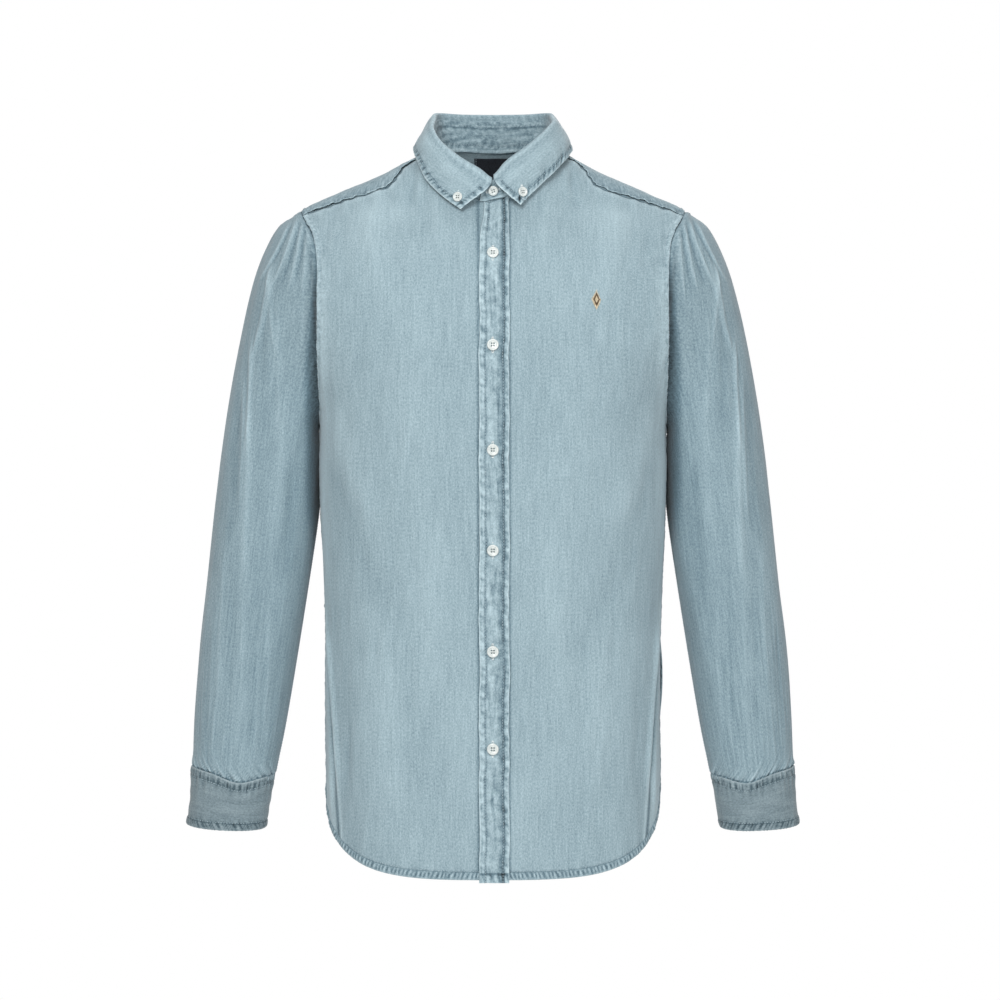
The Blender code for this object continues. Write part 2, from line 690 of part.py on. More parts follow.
FRONT_ENDS = (0.0, SIDE_SEAM_SHARE, MID_FRONT_SHARE, 1.0)
FRONT_ROWS = seam_rows((SIDE_ROW_COUNT,) + ARMHOLE_ROW_COUNTS, FRONT_ENDS, FRONT_LENGTH)
BACK_ENDS = (0.0, SIDE_SEAM_SHARE, 1.0)
BACK_ROWS = seam_rows((SIDE_ROW_COUNT, BACK_ARMHOLE_ROW_COUNT), BACK_ENDS, BACK_LENGTH)
YOKE_ROWS = seam_rows((YOKE_ROW_COUNT,), (0.0, 1.0), YOKE_LENGTH)
FRONT_COLUMNS = trimmed(FRONT_COLUMN_COUNT, FRONT_WIDTH)


def make_fronts():
    for hand, side in SIDE_NAMES:
        edge = FRONT_SPLIT - SEAM_GAP / 2 if hand < 0 else FRONT_SPLIT + SEAM_GAP / 2
        us = FRONT_COLUMNS.copy()
        us[0] = 0.0
        add_wall(f"front_{side}", front_form(edge, hand), us, FRONT_ROWS, 0.0, -CLOTH, DENIM)


def make_back():
    us = trimmed(BACK_COLUMN_COUNT, BACK_WIDTH)
    add_wall("back", back_form, us, BACK_ROWS, 0.0, -CLOTH, DENIM)


def make_yoke():
    seam_reach = 1 - 2 * YOKE_SEAM_SHARE * (1 - FRONT_COLUMNS)
    neck_reach = np.linspace(0.0, seam_reach[0], NECK_COLUMN_COUNT)[1:-1]
    reach = np.concatenate(([0.0], neck_reach, seam_reach))
    us = 0.5 + np.concatenate((-reach[:0:-1], reach)) / 2
    add_wall("yoke", yoke_form, us, YOKE_ROWS, 0.0, -CLOTH, DENIM)


def make_placket():
    low = PLACKET_LIFT
    vs = FRONT_ROWS[FRONT_ROWS <= MID_FRONT_SHARE + SAME_STATION] / MID_FRONT_SHARE
    vs[-1] = 1 - PLACKET_TOP_GAP / FRONT_LENGTH
    us = np.linspace(0.0, 1.0, 4)
    add_wall("placket", placket_form, us, vs, low + CLOTH, low, DENIM)


def stand_layer(bearing):
    """The wearer's left end of the stand laps over the right end."""
    lap = DOUBLE_CLOTH + STAND_LAP_GAP
    return lap * ease((bearing - STAND_LAP_START) / (STAND_LAP_END - STAND_LAP_START))


def stand_face_normals(bearing, up):
    return form_normals(stand_form, bearing, up, True)


def stand_normals(bearing, up):
    """Across the stand, turned to lie along the body's own cloth at the neck seam."""
    own = stand_face_normals(bearing, up)
    return unit(mix(torso_normal(neck_seam(bearing)), own, up[..., None]))


def leaf_normals(bearing, down):
    return form_normals(leaf_form, bearing, down)


def stand_bearings():
    """Stations round the stand, at the same places as those of the pieces it is sewn to."""
    side = math.pi - YOKE_AT_NECK
    start = NECK_LEVEL_ANGLE
    count = ARMHOLE_ROW_COUNTS[1] + 1
    right = np.linspace(-math.pi - start, -side, count)
    back = np.linspace(-side, side, 2 * NECK_COLUMN_COUNT - 1)
    left = np.linspace(side, math.pi - start, count)
    lap = (2 * math.pi + right[1], math.pi + STAND_OVERLAP)
    return np.concatenate(([-math.pi - STAND_OVERLAP], right, back[1:], left[1:], lap))


def make_collar():
    add_wall("collar_stand", stand_form, stand_bearings(), np.linspace(0.0, 1.0, 3),
             0.0, -DOUBLE_CLOTH, DENIM, stand_normals, layer=stand_layer)
    end = math.pi - LEAF_START
    roll = np.linspace(ROLL_START, ROLL_END, 4)
    fall = np.linspace(ROLL_END, 1.0, 7)
    rows = np.concatenate(([0.0], roll, fall[1:]))
    add_wall("collar_leaf", leaf_form, np.linspace(-end, end, LEAF_COLUMN_COUNT), rows,
             CLOTH / 2, -CLOTH / 2, DENIM, leaf_normals)


def make_sleeves():
    front = mix(math.pi, YOKE_AT_ARMHOLE, arm_shares(FRONT_ROWS))[::-1]
    yoke = mix(-YOKE_AT_ARMHOLE, YOKE_BEHIND_ARMHOLE, YOKE_ROWS)[::-1]
    back = mix(math.pi, YOKE_BEHIND_ARMHOLE, arm_shares(BACK_ROWS))
    angles = np.concatenate((-back[1:-1], -yoke, front[1:]))
    last = len(SLEEVE) - 1
    stations = np.concatenate(([SLEEVE_TRIM], np.arange(1, last), [last - SLEEVE_TRIM]))
    for hand, side in SIDE_NAMES:
        form, normals = sleeve_form(hand), sleeve_normals(hand)
        add_wall(f"sleeve_{side}", form, angles, stations, 0.0, -CLOTH, DENIM, normals, True)
        half = SLEEVE_PLACKET_HALF_ANGLE
        strip = np.linspace(OPENING_ANGLE - half, OPENING_ANGLE + half, 4)
        rows = np.linspace(SLEEVE_PLACKET_START, last - SLEEVE_PLACKET_TRIM, 7)
        low = SEAM_GAP
        add_wall(f"sleeve_placket_{side}", form, strip, rows, low + CLOTH, low, DENIM, normals)


def cuff_layer(angle):
    """The end of the cuff laps over its start."""
    lap = DOUBLE_CLOTH + LAYER_GAP
    past = angle - (OPENING_ANGLE + math.pi * 2)
    return lap * ease((past - CUFF_LAP_START) / (CUFF_LAP_END - CUFF_LAP_START))


def cuff_normals(hand):
    form = ring_form(CUFF, hand)
    return lambda angle, station: form_normals(form, angle, station, hand < 0)


def make_cuffs():
    start = OPENING_ANGLE - CUFF_OVERLAP / 2
    angles = np.linspace(start, start + math.pi * 2 + CUFF_OVERLAP, CUFF_COLUMN_COUNT)
    for hand, side in SIDE_NAMES:
        add_wall(f"cuff_{side}", ring_form(CUFF, hand), angles, np.linspace(0.0, 2.0, 3),
                 0.0, -DOUBLE_CLOTH, DENIM_DARK, cuff_normals(hand), layer=cuff_layer)


def inside_back_form(across, down):
    """The bare label's place on the inner side of the yoke."""
    x = mix(-LABEL_WIDTH / 2, LABEL_WIDTH / 2, across)
    return torso_point(x, mix(LABEL_TOP, LABEL_BOTTOM, down), 1.0)


def make_label():
    inner = -CLOTH - SEAM_GAP
    add_wall("neck_label", inside_back_form, np.linspace(0, 1, 5), np.linspace(0, 1, 4),
             inner, inner - LABEL_THICKNESS, LABEL_TAPE)


# ---------------------------------------------------------------- the buttons
def add_button(name, form, normals, place, height, diameter):
    """A button lying on a form at a place, its underside a given height above the form."""
    u, v = (np.array([[value]]) for value in place)
    centre = form(u, v)[0, 0]
    normal = (torso_normal(form(u, v)) if normals is None else normals(u, v))[0, 0]
    mesh = bmesh.new()
    radius = diameter / 2
    rim = BUTTON_RIM
    well = (radius * BUTTON_DISH_SHARE, BUTTON_DISH)
    profile = ((0.0, 0.0), (radius - rim, 0.0), (radius, rim), (radius, BUTTON_THICKNESS - rim),
               (radius - rim, BUTTON_THICKNESS), well, (0.0, BUTTON_DISH))
    verts = [mesh.verts.new((reach, 0.0, level)) for reach, level in profile]
    edges = [mesh.edges.new(pair) for pair in zip(verts, verts[1:])]
    bmesh.ops.spin(mesh, geom=verts + edges, cent=(0, 0, 0), axis=(0, 0, 1),
                   angle=math.pi * 2, steps=BUTTON_SIDES, use_merge=True)
    bmesh.ops.remove_doubles(mesh, verts=mesh.verts[:], dist=1e-6)
    button = finish_object(name, mesh, PEARL)
    button.location = centre + normal * height
    button.rotation_euler = Vector(normal).to_track_quat("Z", "Y").to_euler()


def make_buttons():
    top_of_placket = PLACKET_LIFT + CLOTH + LAYER_GAP
    top = neck_height(0.0)
    hem = hem_height(0.0, FRONT_HEM_HEIGHT) - PLACKET_DROP
    middle = -PLACKET_LEFT / (PLACKET_RIGHT - PLACKET_LEFT)
    for index, height in enumerate(FRONT_BUTTON_HEIGHTS):
        place = (middle, (height - hem) / (top - hem))
        add_button(f"button_front_{index + 1}", placket_form, None, place, top_of_placket,
                   BUTTON_DIAMETER)
    lap = DOUBLE_CLOTH + STAND_LAP_GAP + LAYER_GAP
    add_button("button_stand", stand_form, stand_face_normals, (math.pi, 0.5), lap,
               SMALL_BUTTON_DIAMETER)
    lap = DOUBLE_CLOTH + LAYER_GAP * 2
    for hand, side in SIDE_NAMES:
        place = (hand * (math.pi - POINT_BUTTON_ANGLE), POINT_BUTTON_SHARE)
        add_button(f"button_point_{side}", leaf_form, leaf_normals, place,
                   CLOTH / 2 + LAYER_GAP, SMALL_BUTTON_DIAMETER)
        add_button(f"button_cuff_{side}", ring_form(CUFF, hand), cuff_normals(hand),
                   (OPENING_ANGLE + math.pi * 2, 1.0), lap, SMALL_BUTTON_DIAMETER)


def clear_scene():
    for item in list(bpy.data.objects):
        bpy.data.objects.remove(item, do_unlink=True)


def build():
    clear_scene()
    make_fronts()
    make_back()
    make_yoke()
    make_placket()
    make_collar()
    make_sleeves()
    make_cuffs()
    make_label()
    make_buttons()


build()
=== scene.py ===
"""Looks of a washed denim button-down shirt, filled out as if worn.

Every piece of cloth is a fine grid laid on the form of its solid. Seams, puckers and
folds move the grid in and out, and two skins and a rim make a thin shell of it.
Metres, +Z up. The front faces -Y and the wearer's left is +X.
"""
import math
from collections import namedtuple

import bmesh
import bpy
import numpy as np
from mathutils import Matrix, Vector


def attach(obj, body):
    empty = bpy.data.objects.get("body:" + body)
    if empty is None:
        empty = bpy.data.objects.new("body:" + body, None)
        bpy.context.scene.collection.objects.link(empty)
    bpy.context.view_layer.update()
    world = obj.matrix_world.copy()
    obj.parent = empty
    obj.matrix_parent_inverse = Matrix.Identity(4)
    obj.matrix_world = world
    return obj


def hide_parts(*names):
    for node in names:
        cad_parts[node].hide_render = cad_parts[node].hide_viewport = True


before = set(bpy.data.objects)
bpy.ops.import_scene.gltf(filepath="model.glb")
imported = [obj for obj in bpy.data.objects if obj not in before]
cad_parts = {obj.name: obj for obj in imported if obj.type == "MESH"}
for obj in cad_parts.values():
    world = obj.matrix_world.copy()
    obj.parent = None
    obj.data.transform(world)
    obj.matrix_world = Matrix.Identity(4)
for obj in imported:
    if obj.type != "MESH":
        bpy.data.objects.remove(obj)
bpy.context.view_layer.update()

# Gaps between neighbouring pieces.
SEAM_GAP = 0.0005
LAYER_GAP = 0.0003

# The body: how square its level sections are, its shoulders' roll and its edges.
SQUARENESS = 2.5
SHOULDER_ROLL = 0.13
ARMPIT_HEIGHT = -0.28
ARMHOLE_DEPTH = 0.2265
SIDE_HEM_HEIGHT = -0.668
FRONT_HEM_HEIGHT = -0.756
BACK_HEM_HEIGHT = -0.772
HEM_CURVE = 2.8

# The neck seam, and where the yoke's seams meet it and the armhole.
NECK_HALF_WIDTH = 0.063
NECK_FRONT_ANGLE = math.radians(72)
NECK_BACK_ANGLE = math.radians(36)
YOKE_AT_NECK = math.radians(76)
YOKE_AT_ARMHOLE = math.radians(18)
BACK_YOKE_HEIGHT = -0.078

# The placket's edges, and the line where the fronts part under it.
PLACKET_LEFT = -0.014
PLACKET_RIGHT = 0.017
FRONT_SPLIT = 0.0115
PLACKET_DROP = 0.003
PLACKET_LIFT = 0.0007
PLACKET_TOP_GAP = 0.0017

# The collar: its stand, the roll where the leaf folds over, and the leaf.
STAND_OVERLAP = math.radians(12)
STAND_LIFT = 0.0008
STAND_LAP_GAP = 0.0008
STAND_LAP_START = math.radians(135)
STAND_LAP_END = math.radians(160)
STAND_TOP_GAP = 0.0014
ROLL_RADIUS = 0.0018
ROLL_START = 0.12
ROLL_END = 0.28
ROLL_END_TILT = math.radians(20)
LEAF_START = math.radians(0.8)
LEAF_FLARE = 0.016
LEAF_STEEPNESS = 0.4
LEAF_EDGE_PULL = 0.35
LEAF_EDGE_BULGE = 0.004

# The cuffs and their openings, by the angle round the sleeve from its outer line.
CUFF_OVERLAP = math.radians(12)
CUFF_LAP_START = math.radians(-35)
CUFF_LAP_END = math.radians(-5)
OPENING_ANGLE = math.radians(-68)
SLEEVE_PLACKET_HALF_ANGLE = math.radians(14)
SLEEVE_PLACKET_START = 8.6

# The buttons, and where the small ones sit on the leaf.
BUTTON_DIAMETER = 0.0122
SMALL_BUTTON_DIAMETER = 0.0105
BUTTON_THICKNESS = 0.0026
POINT_BUTTON_ANGLE = math.radians(9)
POINT_BUTTON_SHARE = 0.86

# The bare neck label.
LABEL_WALL = 0.0007
LABEL_WIDTH = 0.041
LABEL_TOP = 0.008
LABEL_BOTTOM = -0.02

# ---- tables
def table(kind, *rows):
    """Rows with named columns."""
    return tuple(kind(*row) for row in rows)


def millimetres(kind, *rows):
    """Rows in millimetres, with named columns."""
    return table(kind, *([cell / 1000 for cell in row] for row in rows))


# Level sections of the body: half its width, and its reach to the front and to the back.
Section = namedtuple("Section", "height half_width front_depth back_depth")
TORSO = millimetres(Section,
    (-790, 175.5, 114, 119),
    (-668, 177, 116, 119),
    (-554, 178.4, 118, 117),
    (-469, 179, 120, 114),
    (-426, 180.5, 122, 114),
    (-383, 182.5, 125, 116),
    (-330, 184, 128, 121),
    (-280, 184, 130, 126),
    (-240, 190, 129, 129),
    (-200, 203, 126, 130),
    (-150, 217, 117, 128),
    (-100, 228, 102, 122),
    (-50, 236, 78, 106),
    (0, 243, 75, 98),
    (50, 250, 72, 97),
)

# The ridge over the shoulders, from the middle outwards.
Ridge = namedtuple("Ridge", "reach height")
SHOULDER_LINE = millimetres(Ridge,
    (0, 40),
    (25, 37),
    (50, 25),
    (66, 12.5),
    (80, 4.5),
    (95, -3.5),
    (113, -13),
    (131, -21),
    (161, -34),
    (192, -47.5),
    (205, -53.5),
    (225, -66),
    (250, -83),
)

# The armhole seam as seen from the front.
Armhole = namedtuple("Armhole", "height reach")
ARMHOLE = millimetres(Armhole,
    (-290, 184),
    (-250, 183.8),
    (-200, 183.5),
    (-150, 183.8),
    (-108, 185),
    (-90, 187.5),
    (-78, 191.5),
    (-66, 198.5),
    (-50, 206.5),
)

# How far the yoke's front seam lies below the ridge, from the neck (0) to the armhole (1).
SeamDrop = namedtuple("SeamDrop", "along drop")
YOKE_FRONT_SEAM = table(SeamDrop,
    (0.0, 0.006),
    (0.14, 0.0042),
    (0.23, 0.0045),
    (0.33, 0.0165),
    (0.45, 0.017),
    (0.57, 0.0148),
    (0.71, 0.0112),
    (0.82, 0.01),
    (0.93, 0.0078),
    (1.0, 0.007),
)

# The crease where the leaf folds over, by the angle round the neck from the front. The leg
# goes on down inside, and left_rise lifts the wearer's left side.
Roll = namedtuple("Roll", "angle reach depth height leg left_rise")
ROLL_LINE = table(Roll,
    (-15, -0.0125, -0.0745, -0.026, 0.005, 0.0015),
    (0, 0.0, -0.077, -0.026, 0.005, 0.003),
    (15, 0.012, -0.0745, -0.0165, 0.005, 0.0075),
    (40, 0.0356, -0.064, -0.001, 0.006, 0.0108),
    (60, 0.0545, -0.046, 0.0165, 0.0075, 0.0112),
    (75, 0.0625, -0.027, 0.031, 0.0085, 0.0075),
    (95, 0.0615, 0.006, 0.045, 0.009, 0.0015),
    (112, 0.0605, 0.027, 0.0515, 0.009, 0.0),
    (126, 0.056, 0.042, 0.0535, 0.009, 0.0),
    (150, 0.0345, 0.0535, 0.0532, 0.009, 0.0),
    (180, 0.0, 0.057, 0.053, 0.009, 0.0),
)

# The leaf's lower edge by the same angle, with the left side's own reach and height.
LeafEdge = namedtuple("LeafEdge", "angle reach depth height left_reach left_height")
LEAF_EDGE = table(LeafEdge,
    (0, 0.0324, -0.085, -0.0595, 0.0272, -0.055),
    (12, 0.047, -0.0765, -0.0486, 0.0385, -0.0432),
    (28, 0.06, -0.067, -0.037, 0.0525, -0.029),
    (48, 0.0713, -0.054, -0.0225, 0.0685, -0.0125),
    (70, 0.08, -0.033, -0.002, 0.079, 0.001),
    (86, 0.0835, -0.008, 0.0085, 0.0832, 0.009),
    (105, 0.081, 0.024, 0.0085, 0.081, 0.0085),
    (130, 0.066, 0.054, 0.006, 0.066, 0.006),
    (155, 0.038, 0.07, 0.007, 0.038, 0.007),
    (180, 0.0, 0.076, 0.008, 0.0, 0.008),
)

# Rings of the sleeve: the outer and inner points of each, and its reach to the front
# and back. A bow draws both flanks towards the body, and a dip lowers the front.
Ring = namedtuple("Ring", "out_x out_z in_x in_z front back middle bow dip",
                  defaults=(0.0, 0.0))
SLEEVE = millimetres(Ring,
    (205, -53.5, 184, -280, 71, 72, 0),
    (213, -60, 186.8, -283.5, 64, 74.5, 3, 10),
    (230, -73, 187.5, -291.5, 59.5, 70, 8, 3),
    (247.5, -106.5, 186.4, -303, 61, 66, 15),
    (261, -149, 185.2, -317, 62.5, 63.5, 19),
    (275, -213, 184.7, -338, 63, 61, 21.5),
    (285.5, -277, 185.1, -360, 62, 60.5, 21.5),
    (296, -362, 188.4, -392, 59.5, 59, 16.5),
    (304.5, -447, 197.5, -455, 57, 57, 8),
    (312.5, -520, 208.5, -526, 53, 53, 2, 0, 1),
    (316.8, -590, 220, -596, 47, 47, -5, 0, 2),
    (318, -630, 228, -637, 42, 42, -9, 0, 3),
    (319, -645, 231, -653, 37.5, 37.5, -10, 0, 4),
)
CUFF = millimetres(Ring,
    (320.5, -645.5, 231.5, -653.5, 38, 38, -10, 0, 4),
    (322.5, -680, 236.5, -685, 37.5, 37.5, -10.5, 0, 4),
    (325.5, -704.5, 240.5, -708.5, 36.5, 36.5, -11, 0, 4),
)
SLEEVE_SQUARENESS = 2.2
ARMHOLE_HOLD = 1.5

FRONT_BUTTON_HEIGHTS = (-0.106, -0.202, -0.31, -0.414, -0.519, -0.62)


# ---- reading tables
def curve_through(stations, values):
    """A smooth curve through the values at the stations, held at both ends."""
    stations = np.asarray(stations, float)
    values = np.asarray(values, float)
    slopes = np.gradient(values, stations)

    def read(at):
        at = np.clip(at, stations[0], stations[-1])
        piece = np.clip(np.searchsorted(stations, at) - 1, 0, len(stations) - 2)
        span = stations[piece + 1] - stations[piece]
        u = (at - stations[piece]) / span
        start = values[piece] * (1 + 2 * u) * (1 - u) ** 2 + slopes[piece] * span * u * (1 - u) ** 2
        end = values[piece + 1] * u * u * (3 - 2 * u) + slopes[piece + 1] * span * u * u * (u - 1)
        return start + end

    return read


def columns(rows):
    """Every column of a table but its first, each read along the first."""
    first, *others = zip(*rows)
    return [curve_through(first, values) for values in others]


half_width, front_depth, back_depth = columns(TORSO)
armhole_reach, = columns(ARMHOLE)
yoke_seam_drop, = columns(YOKE_FRONT_SEAM)
MIRRORED_RIDGE = tuple(Ridge(-row.reach, row.height) for row in SHOULDER_LINE[:0:-1]) + SHOULDER_LINE
shoulder_line, = columns(MIRRORED_RIDGE)


def mix(a, b, share):
    """From a at share 0 to b at share 1."""
    return a * (1 - share) + b * share


def bounded(value):
    """The value held between 0 and 1."""
    return np.clip(value, 0.0, 1.0)


def ease(value):
    """An S curve from 0 to 1: ease((x - a) / b) climbs from a to a + b."""
    value = bounded(value)
    return value * value * (3 - 2 * value)


def stripe(measure, middle, width):
    """1 at the middle, fading to nothing about two widths away."""
    return np.exp(-((measure - middle) / width) ** 2)


def unit(vectors):
    """The same directions at length 1."""
    return vectors / np.linalg.norm(vectors, axis=-1, keepdims=True)


def arc_shares():
    """Matching shares of the cloth's length and of the half width."""
    angle = np.linspace(0.0, math.pi / 2, 721)
    across = half_width(ARMPIT_HEIGHT) * np.sin(angle) ** (2 / SQUARENESS)
    depth = front_depth(ARMPIT_HEIGHT) * np.cos(angle) ** (2 / SQUARENESS)
    steps = np.hypot(np.diff(across), np.diff(depth))
    length = np.concatenate(([0.0], np.cumsum(steps)))
    return length / length[-1], across / across[-1]


ARC_LENGTH_SHARE, ARC_WIDTH_SHARE = arc_shares()


def cloth_share(share):
    """Share of the half width at a share of the cloth's length."""
    return np.interp(share, ARC_LENGTH_SHARE, ARC_WIDTH_SHARE)


# ---- the body's form
def torso_point(x, z, face):
    """The point of the body at a place in the front view, face -1 in front and +1 behind."""
    reach = bounded(np.abs(x) / half_width(z))
    belly = (1 - reach ** SQUARENESS) ** (1 / SQUARENESS)
    drop = bounded((shoulder_line(x) - z) / SHOULDER_ROLL)
    roll = np.sqrt(1 - (1 - drop) ** 2)
    depth = np.where(face < 0, front_depth(z), back_depth(z))
    return np.stack(np.broadcast_arrays(x, face * depth * belly * roll, z), axis=-1)


def depth_squared(x, z, face):
    """Squared depth of the body."""
    return torso_point(x, z, face)[..., 1] ** 2


def torso_normal(points):
    """Outward direction of the body's form at points that lie on it."""
    x, y, z = np.moveaxis(points, -1, 0)
    face = np.where(y < 0, -1.0, 1.0)
    step = 0.0002
    by_x = depth_squared(x + step, z, face) - depth_squared(x - step, z, face)
    by_z = depth_squared(x, z + step, face) - depth_squared(x, z - step, face)
    return unit(np.stack((-by_x / (2 * step), 2 * y, -by_z / (2 * step)), axis=-1))


def turned_point(x, turn):
    """The point at a turn over the shoulder line, negative in front of it."""
    z = shoulder_line(x) - SHOULDER_ROLL * (1 - np.cos(turn))
    return torso_point(x, z, np.where(turn < 0, -1.0, 1.0))


def turn_of(x, z, face):
    """The turn over the shoulder line of a place in the front view."""
    rise = np.clip(1 - (shoulder_line(x) - z) / SHOULDER_ROLL, -1.0, 1.0)
    return face * np.arccos(rise)


NECK_LEVEL_ANGLE = math.asin(FRONT_SPLIT / NECK_HALF_WIDTH)


def neckline(angle):
    """Across place and turn of the neck seam, by the angle from the front."""
    ahead = np.minimum(np.cos(angle), math.cos(NECK_LEVEL_ANGLE))
    turn = np.where(ahead > 0, -NECK_FRONT_ANGLE * ahead, -NECK_BACK_ANGLE * ahead)
    return NECK_HALF_WIDTH * np.sin(angle), turn


def neck_height(angle):
    """Height of the neck seam, by the angle from the front."""
    x, turn = neckline(angle)
    return shoulder_line(x) - SHOULDER_ROLL * (1 - np.cos(turn))


def armhole(angle):
    """Across place and height of the armhole seam, from the shoulder (0) to the armpit (pi)."""
    z = SLEEVE[0].out_z - ARMHOLE_DEPTH * (1 - np.cos(angle)) / 2
    return armhole_reach(z), z


def yoke_front(share):
    """Across place and height of the yoke's front seam, from neck to armhole."""
    neck_x, neck_turn = neckline(YOKE_AT_NECK)
    arm_x, arm_z = armhole(YOKE_AT_ARMHOLE)
    neck_drop = SHOULDER_ROLL * (1 - np.cos(neck_turn))
    arm_drop = shoulder_line(arm_x) - arm_z
    x = mix(neck_x, arm_x, share)
    ends = mix(neck_drop - yoke_seam_drop(0.0), arm_drop - yoke_seam_drop(1.0), share)
    return x, shoulder_line(x) - yoke_seam_drop(share) - ends


def hem_height(share, middle):
    """Height of the hem at a share of the half width, down to middle."""
    angle = np.arcsin(bounded(np.abs(share)) ** (SQUARENESS / 2)) / (math.pi / 2)
    return middle + (SIDE_HEM_HEIGHT - middle) * angle ** HEM_CURVE


# Shares of a front's height up to the armpit and the neck, and how far its rows stay level.
SIDE_SEAM_SHARE = 0.6
MID_FRONT_SHARE = 0.84
LEVEL_REACH = 0.0175
YOKE_BEHIND_ARMHOLE = math.acos(1 - 2 * (SLEEVE[0].out_z - BACK_YOKE_HEIGHT) / ARMHOLE_DEPTH)


def body_side(along, top_angle):
    """Side seam and then armhole, from the hem to a piece's top corner."""
    up = bounded(along / SIDE_SEAM_SHARE)
    seam_z = mix(SIDE_HEM_HEIGHT, ARMPIT_HEIGHT, up)
    round_arm = bounded((along - SIDE_SEAM_SHARE) / (1 - SIDE_SEAM_SHARE))
    arm_x, arm_z = armhole(mix(math.pi, top_angle, round_arm))
    on_seam = along <= SIDE_SEAM_SHARE
    return np.where(on_seam, half_width(seam_z), arm_x), np.where(on_seam, seam_z, arm_z)


def width_share(across, side_z):
    """Shares across a row: by cloth length below the armpit, even beside the armhole."""
    above = ease((side_z - ARMPIT_HEIGHT) / 0.06)
    size = np.abs(across)
    return np.sign(across) * mix(cloth_share(size), size, above)


def front_place(across, along, edge, hand):
    """A front in the front view: across from its edge at mid front (0) to the side (1)."""
    up = bounded(along / MID_FRONT_SHARE)
    start = math.asin(hand * edge / NECK_HALF_WIDTH)
    round_neck = bounded((along - MID_FRONT_SHARE) / (1 - MID_FRONT_SHARE))
    neck_angle = mix(start, YOKE_AT_NECK, round_neck)
    neck_x, _ = neckline(neck_angle)
    neck_z = neck_height(neck_angle)
    edge_share = hand * edge / half_width(SIDE_HEM_HEIGHT)
    hem_z = hem_height(edge_share, FRONT_HEM_HEIGHT)
    on_edge = along <= MID_FRONT_SHARE
    left_x = np.where(on_edge, hand * edge, neck_x)
    left_z = np.where(on_edge, mix(hem_z, neck_height(start), up), neck_z)
    right_x, right_z = body_side(along, YOKE_AT_ARMHOLE)
    share = width_share(across, right_z)
    x = mix(left_x, right_x, share)
    bottom_z = hem_height(mix(edge_share, 1.0, share), FRONT_HEM_HEIGHT)
    _, top_z = yoke_front(share)
    level = (LEVEL_REACH - hand * edge) / (half_width(ARMPIT_HEIGHT) - hand * edge)
    slope = bounded((share - level) / (1 - level))
    corner_low = mix(hem_z, SIDE_HEM_HEIGHT, slope)
    corner_high = mix(yoke_front(0.0)[1], yoke_front(1.0)[1], slope)
    z = mix(left_z, right_z, slope) + (bottom_z - corner_low) * (1 - along)
    z = z + (top_z - corner_high) * round_neck
    return hand * x, z


def front_form(edge, hand):
    """The form of one front from its edge at mid front, hand -1 right and +1 left."""
    def form(across, along):
        x, z = front_place(across, along, edge, hand)
        return torso_point(x, z, -1.0)

    return form


def back_form(across, along):
    """The back below the yoke: across from -X to +X, along from the hem to the yoke."""
    side_x, side_z = body_side(along, YOKE_BEHIND_ARMHOLE)
    share = width_share(2 * across - 1, side_z)
    bottom_z = hem_height(share, BACK_HEM_HEIGHT) - SIDE_HEM_HEIGHT
    z = side_z + bottom_z * (1 - along)
    return torso_point(side_x * share, z, 1.0)


# Share of the yoke's front edge that each front takes.
YOKE_SEAM_SHARE = 0.27


def yoke_form(across, down):
    """The yoke: across from one armhole to the other, down from its front edge to its back."""
    side = np.sign(across - 0.5)
    reach = np.abs(across - 0.5) * 2
    on_seam = reach >= 1 - 2 * YOKE_SEAM_SHARE
    along_seam = bounded((reach - 1 + 2 * YOKE_SEAM_SHARE) / (2 * YOKE_SEAM_SHARE))
    seam_x, seam_z = yoke_front(along_seam)
    round_neck = bounded(reach / (1 - 2 * YOKE_SEAM_SHARE))
    neck_x, neck_turn = neckline(mix(math.pi, YOKE_AT_NECK, round_neck))
    first_x = np.where(on_seam, seam_x, neck_x)
    first_turn = np.where(on_seam, turn_of(seam_x, seam_z, -1.0), neck_turn)
    arm_x, arm_z = armhole(YOKE_BEHIND_ARMHOLE)
    last_x = arm_x * reach
    last_turn = turn_of(last_x, BACK_YOKE_HEIGHT, 1.0)
    edge_angle = mix(-YOKE_AT_ARMHOLE, YOKE_BEHIND_ARMHOLE, down)
    edge_x, edge_z = armhole(np.abs(edge_angle))
    edge_turn = turn_of(edge_x, edge_z, np.sign(edge_angle))
    corner_x, corner_z = armhole(YOKE_AT_ARMHOLE)
    corner_turn = turn_of(corner_x, corner_z, -1.0)
    edge_x_extra = edge_x - mix(corner_x, arm_x, down)
    edge_turn_extra = edge_turn - mix(corner_turn, turn_of(arm_x, arm_z, 1.0), down)
    hold = ease((reach - 0.5) / 0.5)
    x = mix(first_x, last_x, down) + edge_x_extra * hold
    turn = mix(first_turn, last_turn, down) + edge_turn_extra * hold
    return turned_point(side * x, turn)


def placket_form(across, along):
    """The placket: across from its left edge in the front view, along from hem to neck."""
    x = mix(PLACKET_LEFT, PLACKET_RIGHT, across)
    top = neck_height(np.arcsin(x / NECK_HALF_WIDTH))
    hem = hem_height(np.abs(x) / half_width(SIDE_HEM_HEIGHT), FRONT_HEM_HEIGHT) - PLACKET_DROP
    return torso_point(x, mix(hem, top, along), -1.0)


# ---- the collar's form
roll_reach, roll_depth, roll_height, roll_leg, roll_left_rise = columns(ROLL_LINE)
edge_reach, edge_depth, edge_height, left_edge_reach, left_edge_height = columns(LEAF_EDGE)


def round_neck_angle(bearing):
    """Split a bearing from the back (0) to the front (+-pi) into a side and an angle."""
    side = np.where(bearing < 0, -1.0, 1.0)
    return side, np.degrees(math.pi - np.abs(bearing))


